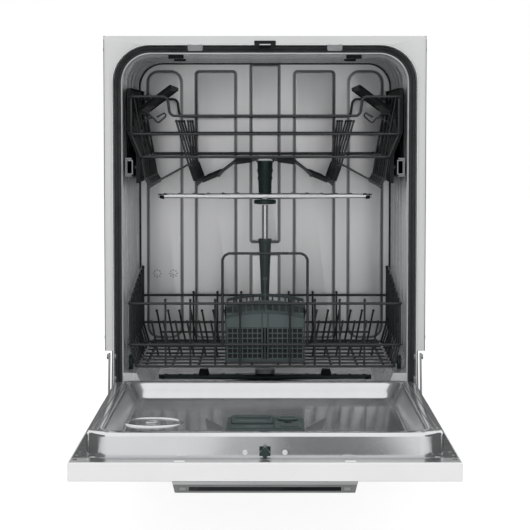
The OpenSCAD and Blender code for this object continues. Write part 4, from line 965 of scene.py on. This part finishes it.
def rack_adjusters():
    """Side mouldings of the upper rack: upright plate, joggle, slotted foot, ribs and end flanges."""
    lo, hi = span("rack_adjusters")
    out, foot, top = hi.x, lo.z, hi.z
    rim = UPPER_RIM_Z
    low_in, low_out, high_in = out - 21.5, out - 16.5, out - 2.5
    slot_top, slot_low = foot + 34.2, foot + 3.5
    pins = (RACK_FRONT + 68, RACK_REAR - 78)
    pin_half = 4.2
    section = [
        (low_in, slot_top), (low_out, slot_top), (low_out, rim + 6), (out, rim + 46),
        (out, top), (high_in, top), (high_in, rim + 47), (low_in, rim + 7),
    ]
    shape = Shape()
    shape.prism(section, side_start, side_end, "y")
    shape.block((low_in, side_start, foot), (low_out, side_end, slot_low))
    stops = [side_start] + [y + d for y in pins for d in (-pin_half, pin_half)] + [side_end]
    for a, b in zip(stops[::2], stops[1::2]):
        shape.block((low_in, a, slot_low - 0.2), (low_out, b, slot_top + 0.2))
    for z, depth in ((top - 1.6, 7), (top - 22, 2.4), (rim + 56, 2.4)):
        shape.block((high_in - depth, side_start, z), (high_in + 0.3, side_end, z + 1.6))
    shape.block((low_in - 2, side_start, rim - 2), (low_in + 0.3, side_end, rim - 0.2))
    for y in (side_start, side_end - 2):
        shape.block((high_in - 5, y, rim + 50), (high_in + 0.3, y + 2, top))
        shape.block((low_in - 3, y, foot), (low_in + 0.3, y + 2, rim + 6))
    for y in (156, 182, 326, 352):
        shape.block((high_in - 2, y, rim + 58), (high_in + 0.3, y + 2, top - 20))
    shape.both_sides()
    piece("rack_side_mouldings", shape, "upper_rack", "dark_plastic", ["rack_adjusters"], bevel=0.5)


def cup_shelf(side, body, node):
    """A slatted shelf that folds on its rod, with a rim, a rib and fins."""
    rod_x, rod_z = UPPER_HALF - 15, 683
    wide = 76
    tilt = radians(37)
    near, far = RACK_FRONT + 60, RACK_REAR - 60
    shape = Shape()
    shape.tube([(0, near, 0), (0, far, 0)], 8, ends="flat")
    shape.block((0, near, -1.5), (16, far, 1.5))
    shape.block((wide - 10, near, -1.5), (wide, far, 1.5))
    edges = [near] + [RACK_FRONT + y + i * 44 for i in range(7) for y in (72, 100)] + [far]
    for a, b in zip(edges[::2], edges[1::2]):
        shape.block((15, a, -1.4), (wide - 9, b, 1.4))
        shape.block((14, (a + b) / 2 - 0.8, 1), (wide - 6, (a + b) / 2 + 0.8, 3.2))
    shape.tube([(wide - 1.6, near, 0.4), (wide - 1.6, far, 0.4)], 4.4)
    shape.tube([(43, near, 0.6), (43, far, 0.6)], 5)
    for y in (near, far - 2):
        shape.block((2, y, -4), (wide - 2, y + 2, 3))
    c, s = cos(tilt), sin(tilt)
    shape.verts = [
        Vector((side * (rod_x - (v.x * c - v.z * s)), v.y, rod_z + v.x * s + v.z * c)) for v in shape.verts
    ]
    piece(body + "_slats", shape, body, "dark_plastic", [node], bevel=0.4)


def shelf_brackets():
    """Bent wire loops that hold the shelves on the rack's first side posts."""
    y = upper_posts()[0]
    hook = [(-240, 655), (-228, 664), (-213, 668), (-204, 657), (-188, 671), (-191, 677), (-206, 668.5)]
    bow = [(-246, 664), (-236, 676), (-222, 676), (-214, 667)]
    wires = Shape()
    for line in (hook, bow):
        wires.tube([(x, y, z) for x, z in line], 3.2, bend=4)
    wire_piece("shelf_brackets", wires.both_sides(), "upper_rack")


LOWER_HALF = 257
LOWER_FLOOR_Z = 199
LOWER_RIM_Z = 318
TINE_PITCH = 23
TINE_H = 70
TINE_LEAN = 11
lower_mid_z = LOWER_FLOOR_Z + 41
lower_foot = LOWER_HALF - 12


def lower_ends():
    """Front and rear of the lower rack with the raised hoop."""
    corner = 18
    shape = Shape()
    ends = (
        (RACK_FRONT, LOWER_RIM_Z, [n * 47 for n in range(-4, 5) if n], 1),
        (RACK_REAR, LOWER_RIM_Z - 21, [-150, -100, -50, 50, 100, 150], -1),
    )
    for y, rim_z, posts, inward in ends:
        for half, z in ((LOWER_HALF, rim_z), (LOWER_HALF, lower_mid_z), (lower_foot, LOWER_FLOOR_Z)):
            shape.tube(mirrored([(half, y + inward * corner, z), (half, y, z)]), WIRE, bend=12)
        post_y, low = y + inward * post_out, LOWER_FLOOR_Z - 1
        line = [(lower_foot - 2, low), (LOWER_HALF - 2, lower_mid_z), (LOWER_HALF - 2, rim_z + 2)]
        for side in SIDES:
            shape.tube([(side * x, post_y, z) for x, z in line], TINE, bend=16)
        for x in posts:
            shape.tube([(x, post_y, low), (x, post_y, rim_z + 8)], TINE, ends="ball")
    half, top = 80, 413
    hoop = [(half, LOWER_FLOOR_Z + 39), (half, top - 12), (half - 4, top - 4), (half - 12, top)]
    shape.tube(mirrored([(x, RACK_FRONT - WIRE + 0.8, z) for x, z in hoop]), WIRE, bend=9)
    return shape


def lower_frame():
    """The walls of the lower rack: its ends, rising side rims, posts and axles."""
    rise = 40
    posts = 8
    low, axle_z = LOWER_FLOOR_Z - 1, 200.3
    y0, y1 = RACK_FRONT + 6, RACK_REAR - 6
    rim = [(y0, LOWER_RIM_Z), (y0 + 26, LOWER_RIM_Z), (y1 - 8, LOWER_RIM_Z + rise)]
    sides = Shape()
    sides.tube([(LOWER_HALF, y, z) for y, z in rim], WIRE, bend=40)
    for x, z in ((LOWER_HALF, lower_mid_z), (lower_foot, LOWER_FLOOR_Z)):
        sides.tube([(x, y0 + 6, z), (x, y1 - 6, z)], WIRE, ends="flat")
    for i in range(posts):
        part = (i + 0.5) / posts
        y = side_start + part * (side_end - side_start)
        x = LOWER_HALF - post_out
        post = [(lower_foot - post_out, y, low), (x, y, lower_mid_z), (x, y, LOWER_RIM_Z + part * rise + 5)]
        sides.tube(post, TINE, bend=18, ends="ball")
    for y in (RACK_FRONT + 60, RACK_REAR - 50):
        sides.tube([(lower_foot, y, axle_z), (LOWER_HALF + 5, y, axle_z)], 6)
    sides.both_sides()
    shape = lower_ends()
    shape.add(sides.verts, sides.faces)
    wire_piece("lower_rack_wires", shape, "lower_rack", "lower_basket_walls")


def tine_row(shape, y, z, start):
    """Leaning tines of the left half on a wire, tied by a second one."""
    reach = TINE_H * tan(radians(TINE_LEAN))
    count = int((lower_foot - reach - start - 14) // TINE_PITCH)
    last = start + count * TINE_PITCH
    tie_x, tie_y, tie_z = reach * 0.35, y + 3, z + TINE_H * 0.35
    shape.tube([(-last - 6, y, z), (-start + 6, y, z)], WIRE)
    shape.tube([(-last - tie_x - 4, tie_y, tie_z), (-start - tie_x + 4, tie_y, tie_z)], TINE)
    for i in range(count + 1):
        x = -start - i * TINE_PITCH
        shape.tube([(x, y, z), (x - reach, y, z + TINE_H)], TINE, ends="ball")


def lower_floor():
    """Long and cross wires with the fixed tines, and the two folding rows."""
    cross_z = LOWER_FLOOR_Z + (WIRE + TINE) / 2 - 0.04
    half = lower_foot - WIRE - TINE - SEAT
    shape = Shape()
    for x in range(25, 226, 50):
        ends = [(-x, RACK_FRONT + 2, LOWER_FLOOR_Z), (-x, RACK_REAR - 2, LOWER_FLOOR_Z)]
        shape.tube(ends, WIRE, ends="flat")
    cross = [side_start + 8 + i * 54 for i in range(4)] + [arm_y + 24 + i * 54 for i in range(3)]
    for y in cross + [side_end - 8]:
        shape.tube([(-half, y, cross_z), (0, y, cross_z)], TINE, ends="flat")
    tine_row(shape, arm_y - 105, LOWER_FLOOR_Z + WIRE - 0.1, 92)
    wire_piece("lower_rack_floor", shape.both_sides(), "lower_rack", "lower_basket_floor")
    for side, name in zip(SIDES, ("left", "right")):
        row = Shape()
        tine_row(row, arm_y + 79, cross_z + (TINE + WIRE) / 2 + SEAT, 46)
        row.verts = [Vector((-side * v.x, v.y, v.z)) for v in row.verts]
        wire_piece("folding_tines_" + name, row, name + "_tines", "tine_row_" + name)


def wheels(node, body):
    """Rollers with a grooved tyre and a hub on each side."""
    lo, hi = span(node)
    r, y, z = (hi.z - lo.z) / 2, (lo.y + hi.y) / 2, (lo.z + hi.z) / 2
    a, b = hi.x - 8, hi.x
    profile = [
        (3.2, a), (r - 1.5, a), (r, a + 1.2), (r, a + 3.2), (r - 0.9, a + 3.8), (r - 0.9, a + 4.4),
        (r, a + 5), (r, b - 1.2), (r - 1.5, b), (r - 3, b - 0.6), (6, b - 0.6), (5.6, b), (3.2, b),
    ]
    shape = Shape()
    shape.revolve(profile, (0, y, z), "x", 40)
    piece(body + "_rollers", shape.both_sides(), body, "green_plastic", [node], angle=40)


upper_frame()
upper_floor()
rack_rests()
rack_adjusters()
cup_shelf(-1, "left_cup_shelf", "cup_shelf_left")
cup_shelf(1, "right_cup_shelf", "cup_shelf_right")
shelf_brackets()
lower_frame()
lower_floor()
wheels("front_wheels", "front_wheel_pair")
wheels("rear_wheels", "rear_wheel_pair")

# Spray parts


def spray_arm(name, node, body, z, thick, finish):
    """A pressed blade with a crowned back, widest at its hub, with jets and dark tips."""
    reach = span(node)[1].x
    count, around_blade, jets = 40, 24, 6

    def level(x, up):
        height = mix(thick, 8.8, smooth(abs(x) / reach * 1.1))
        return z + (thick - height) / 2 + height * up

    shape = Shape()
    rings = []
    for i in range(count + 1):
        x = -reach + 2 * reach * i / count
        t = abs(x) / reach
        half = mix(22, 13.5, smooth(t * 3)) if t < 0.33 else mix(13.5, 5.2, (t - 0.33) / 0.67)
        if t > 0.985:
            half *= 0.72
        rings.append([
            (x, arm_y + half * copysign(abs(c) ** 0.4, c), level(x, 0.5 + 0.5 * copysign(abs(s) ** 0.6, s)))
            for c, s in circle(0, 0, 1, 1, around_blade)
        ])
    shape.skin(rings)
    for i in range(1, jets + 1):
        for side in SIDES:
            x = side * (26 + i * (reach - 40) / jets)
            jet = [(4.2, -1.5), (3.6, 0.2), (2.4, 1.1), (1.2, 1.3), (1.0, 0.5)]
            shape.revolve(jet, (x, arm_y, level(x, 1)), "z", 16)
    hub = [(19.5, -0.1), (20.5, 2), (20.5, 9), (18.5, 11.4), (13, 12.2), (9.5, 12.2)]
    shape.revolve(hub, (0, arm_y, z), "z", 40)
    piece(name, shape, body, finish, [node], angle=50)
    tips = Shape()
    stations = ((reach - 12, 6.8, -0.5, 10.0), (reach - 5, 5.8, 0.6, 9.2), (reach - 0.2, 2.0, 3.4, 6.4))
    for side in SIDES:
        tips.skin([
            [(side * x, py, pz) for py, pz in circle(arm_y, z + (low + high) / 2, w, (high - low) / 2, 12)]
            for x, w, low, high in stations
        ])
    piece(name + "_tips", tips, body, "dark_plastic", angle=50)


def arm_heads():
    """Square jet heads near the ends of the lower arm."""
    top = span("lower_spray_arm")[1].z
    heads = Shape()
    for x in (-122, 122):
        for w, d, low, high in ((10, 12, 9.5, top - 4), (8.6, 10.5, 10.5, top)):
            heads.prism(rounded(x - w, arm_y - d, x + w, arm_y + d, 4, 4), LOWER_ARM_Z + low, high)
        heads.tube([(x, arm_y - 8, top - 1.5), (x, arm_y + 8, top - 1.5)], 3)
    piece("lower_arm_blade_jets", heads, "lower_arm", "dark_plastic", bevel=0.8)


def feed_hub():
    """Stepped barrel of the upper arm with six ribs."""
    top = span("upper_feed_hub")[1].z
    profile = [
        (5.2, 497), (20, 497), (22, 498.4), (22, 503.6), (20.6, 505.4), (8, 505.6), (8, 519.2), (12.4, 519.6),
        (13, 521), (13, 526), (12.2, 526.6), (12.2, 528), (13, 528.6), (13, 535), (12.2, 535.6), (12.2, 537),
        (13.2, 537.6), (13.6, 545), (14.6, 546), (14.8, 551), (13.8, 552), (14.6, 560), (15.4, 561),
        (15.6, 566), (14.8, 567), (15.6, top - 2), (14.6, top), (4, top),
    ]
    shape = Shape()
    shape.revolve(profile, (0, arm_y, 0), "z", 40)
    r = 13.2
    for k in range(6):
        c, s = cos(radians(30 + 60 * k)), sin(radians(30 + 60 * k))
        low, high = (r * c, arm_y + r * s, 522), (r * 1.12 * c, arm_y + r * 1.12 * s, top - 6)
        shape.tube([low, high], 2.4, sides=8)
    piece("feed_hub_barrel", shape, "upper_rack", "green_plastic", ["upper_feed_hub"], angle=40)


def spray_tower():
    """Column on a clip plate with a flared, ribbed head."""
    top = span("spray_tower")[1].z
    profile = [
        (6.8, 189), (15, 189), (17, 190.6), (17, 201.4), (15.6, 203), (8, 203.4), (7, 205), (7, 236),
        (7.8, 237), (7.8, 240), (7, 241), (7, 304), (12.2, top - 8), (13.2, top - 6.4), (13.5, top - 4.6),
        (13.5, top - 1), (12.6, top), (6.8, top), (6.6, top - 3),
    ]
    shape = Shape()
    shape.revolve(profile, (0, arm_y, 0), "z", 32)
    for a in (-90, 30, 150):
        c, s = cos(radians(a)), sin(radians(a))
        low, high = (7.2 * c, arm_y + 7.2 * s, 300), (11.9 * c, arm_y + 11.9 * s, top - 10)
        shape.tube([low, high], 2.6, sides=8)
    piece("tower_column", shape, "lower_rack", "grey_plastic", ["spray_tower"], angle=40)
    plate = Shape()
    plate.prism(rounded(-30, arm_y - 20, 30, arm_y + 20, 6, 5), 201.8, 204.2)
    for x in (-25, 25):
        for y in (arm_y - 14, arm_y + 9):
            plate.block((x - 4, y, 198.2), (x + 4, y + 5, 203))
    piece("tower_clip_plate", plate, "lower_rack", "green_plastic", bevel=0.6)


UPPER_ARM_Z = 507
LOWER_ARM_Z = 146
spray_arm("upper_arm_blade", "upper_spray_arm", "upper_arm", UPPER_ARM_Z, 12.2, "arm_steel")
spray_arm("lower_arm_blade", "lower_spray_arm", "lower_arm", LOWER_ARM_Z, 11, "green_plastic")
arm_heads()
feed_hub()
spray_tower()

# Cutlery basket

basket_lo, basket_hi = span("cutlery_basket")
BASKET_RIM = 323
BASKET_T = 2.4
BAR = 0.9
CELL = 9.6
net_top = BASKET_RIM - 52


def cutlery_net():
    """Square net of the four walls and the base, over near-black sheets that paint the shade inside the
    basket.
    """
    half, y0, y1, z0 = basket_hi.x, basket_lo.y, basket_hi.y, basket_lo.z
    inset, t = 3.0, BASKET_T
    side_top = BASKET_RIM - 24
    # Near-black sheets inside the front and back walls: painted shade seen through the cells.
    inner_shade = Shape()
    for a, b in ((-half + 4, -5), (5, half - 4)):
        for y in (y0 + inset + t + 0.4, y1 - inset - t - 1.4):
            inner_shade.block((a, y, z0 + 3), (b, y + 1, net_top + 2))
    piece("cutlery_inner_shade", inner_shade, "cutlery_box", "dark_plastic")

    def levels(top):
        return [z0 + 6 + i * CELL for i in range(ceil((top - z0 - 6) / CELL))]

    columns = even(-half + 5, half - 5, round(2 * (half - 5) / CELL))
    rows = even(y0 + 5, y1 - 5, round((y1 - y0 - 10) / CELL))
    net = Shape()
    for a, b in ((y0 + 1.4, y0 + 3.6), (y1 - 3.6, y1 - 1.4)):
        net.block((-half + 1, a, net_top), (half - 1, b, side_top))
    for y in (y0 + inset, y1 - inset - t):
        for x in columns:
            # The front wall has no bar where its halves meet
            if abs(x) >= CELL * 0.6 or y >= arm_y:
                net.block((x - BAR, y, z0 + 1), (x + BAR, y + t, net_top + 1))
        for z in levels(net_top):
            for a, b in ((-half + 3, -5), (5, half - 3)):
                net.block((a, y + 0.3, z - BAR), (b, y + t - 0.3, z + BAR))
    for x0, x1 in ((-half + inset, -half + inset + t), (half - inset - t, half - inset)):
        for y in rows:
            net.block((x0, y - BAR, z0 + 1), (x1, y + BAR, side_top))
        for z in levels(side_top - 2):
            net.block((x0 + 0.3, y0 + 4, z - BAR), (x1 - 0.3, y1 - 4, z + BAR))
    for x in columns:
        net.block((x - BAR, y0 + 4, z0), (x + BAR, y1 - 4, z0 + 2))
    for y in rows:
        net.block((-half + 4, y - BAR, z0 + 0.2), (half - 4, y + BAR, z0 + 1.8))
    piece("cutlery_lattice", net, "cutlery_box", "grey_plastic", ["cutlery_basket"], angle=30)


def cutlery_rims():
    """Arched upper bands with slots, corner posts, middle wall and grip."""
    half, y0, y1, z0 = basket_hi.x, basket_lo.y, basket_hi.y, basket_lo.z
    top, rim, t = basket_hi.z, BASKET_RIM, BASKET_T
    bands = 24
    solid = Shape()

    def top_at(x):
        return rim - 10 * (abs(x) / half) ** 2

    def strip(ends, trim, low, high, y_from, y_to):
        """A length of a long wall between two drops under its arched top."""
        a, b = ends[0] + trim[0], ends[1] - trim[1]
        high_a, high_b = map(top_at, ends)
        outline = [(a, high_a - low), (b, high_b - low), (b, high_b - high), (a, high_a - high)]
        solid.prism(outline, y_from, y_to, "y")

    for y in (y0, y1 - t - 0.6):
        for i in range(bands):
            ends = mix(-half, half, i / bands), mix(-half, half, (i + 1) / bands)
            strip(ends, (0, 0), 6, 0, y, y + t + 0.6)
            strip(ends, (0, 0), 25, 19, y, y + t + 0.6)
            if i % 2 == 0:
                strip(ends, (0.4, 2.6), 20, 5, y + 0.4, y + t)
    for side in SIDES:
        x0, x1 = sorted((side * half, side * (half - t)))
        solid.block((x0, y0, rim - 30), (x1, y1, rim - 10))
        for y in (y0, y1 - 5):
            solid.block((x0, y, z0), (x1, y + 5, rim - 11))
        a, b = sorted((side * 4, side * 7))
        solid.block((a, y0 + 0.6, z0), (b, y0 + 3.6, rim - 17))
    for y in (y0 + 1, y1 - 3.4):
        solid.block((-half, y, z0), (half, y + 2.4, z0 + 6))
    front = [(2, rim - 4), (30, rim - 1), (45, top - 8), (50, top)]
    wall = [(y0 + 2, z0), (y1 - 2, z0)]
    wall += [(y1 - y, z) for y, z in front] + [(y0 + y, z) for y, z in reversed(front)]
    solid.prism(wall, -1.2, 1.2, "x")
    solid.tube([(0, y0 + 52, top - 3.4), (0, y1 - 52, top - 3.4)], 6.4)
    piece("cutlery_rims", solid, "cutlery_box", "grey_plastic", bevel=0.5)


cutlery_net()
cutlery_rims()

# Camera, light and floor, in metres

CAMERA_AWAY = 3.7603
CAMERA_Z = 0.6573
CAMERA_DIP = 4.0088
LENS_MM = 137.49
SENSOR_MM = 36
camera = bpy.data.objects.new("camera", bpy.data.cameras.new("camera"))
camera.location = (0, FRONT / 1000 - CAMERA_AWAY, CAMERA_Z)
camera.rotation_euler = (radians(90 - CAMERA_DIP), 0, 0)
camera.data.lens = LENS_MM
camera.data.sensor_width = SENSOR_MM
bpy.context.scene.collection.objects.link(camera)
bpy.context.scene.camera = camera


def lamp(name, location, target, size, watts):
    """A soft lamp; metal mirrors the white room and not the lamp."""
    data = bpy.data.lights.new(name, "AREA")
    data.shape = "RECTANGLE"
    data.size, data.size_y = size
    data.energy = watts
    obj = bpy.data.objects.new(name, data)
    obj.visible_glossy = False
    obj.location = location
    obj.rotation_euler = (Vector(target) - obj.location).to_track_quat("-Z", "Y").to_euler()
    bpy.context.scene.collection.objects.link(obj)


lamp("key", (-1.5, -2.3, 2.3), (0, 0.1, 0.5), (2.2, 1.8), 34)
lamp("fill", (1.8, -2.2, 1.3), (0, 0.1, 0.4), (1.6, 1.6), 14)
lamp("top", (0, 0.2, 2.9), (0, 0.1, 0), (2.6, 2.6), 18)
lamp("rim", (-0.6, 3.0, 2.0), (0, 0.2, 0.4), (1.6, 1.0), 12)


def studio():
    """White for camera, mirrored and see-through rays, and dimmer as a light."""
    world = bpy.data.worlds.new("studio")
    bpy.context.scene.world = world
    graph = Graph(world)
    ray = graph.add("ShaderNodeLightPath").outputs
    seen = graph.calculate("MAXIMUM", ray["Is Camera Ray"], ray["Is Glossy Ray"])
    seen = graph.calculate("MAXIMUM", seen, ray["Is Transmission Ray"])
    soft, full = [graph.add("ShaderNodeBackground", WHITE, Strength=power) for power in (0.55, 1.0)]
    blend = graph.add("ShaderNodeMixShader", seen, soft.outputs[0], full.outputs[0])
    graph.add("ShaderNodeOutputWorld", blend.outputs[0])


def sheet(name, corners, material):
    """A flat face between four corners."""
    mesh = bpy.data.meshes.new(name)
    mesh.from_pydata(corners, [], [(0, 1, 2, 3)])
    mesh.materials.append(material)
    obj = bpy.data.objects.new(name, mesh)
    bpy.context.scene.collection.objects.link(obj)
    return obj


def lying(x0, x1, y0, y1, z):
    return [(x0, y0, z), (x1, y0, z), (x1, y1, z), (x0, y1, z)]


def upright(a, b, height):
    return [(*a, 0), (*b, 0), (*b, height), (*a, height)]


def floor():
    """A pale floor that melts into the white backdrop and keeps the shadow."""
    material = bpy.data.materials.new("floor_paper")
    graph = Graph(material)
    ray = graph.add("ShaderNodeLightPath").outputs
    paper = graph.add("ShaderNodeBsdfDiffuse", (0.92, 0.92, 0.92, 1))
    glow, even_glow = [graph.add("ShaderNodeEmission", WHITE, power) for power in (1.22, 0.85)]
    share = graph.calculate("MULTIPLY", ray["Is Camera Ray"], 0.72)
    seen = graph.add("ShaderNodeMixShader", share, paper.outputs[0], glow.outputs[0])
    last = graph.add("ShaderNodeMixShader", ray["Is Glossy Ray"], seen.outputs[0], even_glow.outputs[0])
    graph.add("ShaderNodeOutputMaterial", last.outputs[0])
    far = 14
    obj = sheet("floor", lying(-far, far, -far, far, 0), material)


def card(name, corners, grey):
    """A grey sheet that only shows as a reflection in the metal."""
    material = bpy.data.materials.new(name)
    graph = Graph(material)
    paint = graph.add("ShaderNodeBsdfDiffuse", (grey, grey, grey, 1))
    graph.add("ShaderNodeOutputMaterial", paint.outputs[0])
    obj = sheet(name, corners, material)
    obj.visible_camera = False
    obj.visible_diffuse = False
    obj.visible_shadow = False


studio()
floor()
card("card_middle", lying(0.03, 0.30, -2.8, -1.15, 0.004), 0.12)
card("card_soft", lying(-0.12, 0.34, -2.8, -1.1, 0.002), 0.42)
for side, name in zip(SIDES, ("left", "right")):
    near, far = side * 0.31, side * 1.1
    card("card_" + name, upright((far, -2.2), (far, 0.0), 0.9), 0.05)
    card("card_low_" + name, lying(near, far, -1.0, 0.7, 0.003), 0.03)
    card("card_rear_" + name, upright((near, 0.7), (far, 0.7), 0.5), 0.15)
bpy.context.scene.view_settings.view_transform = "Standard"
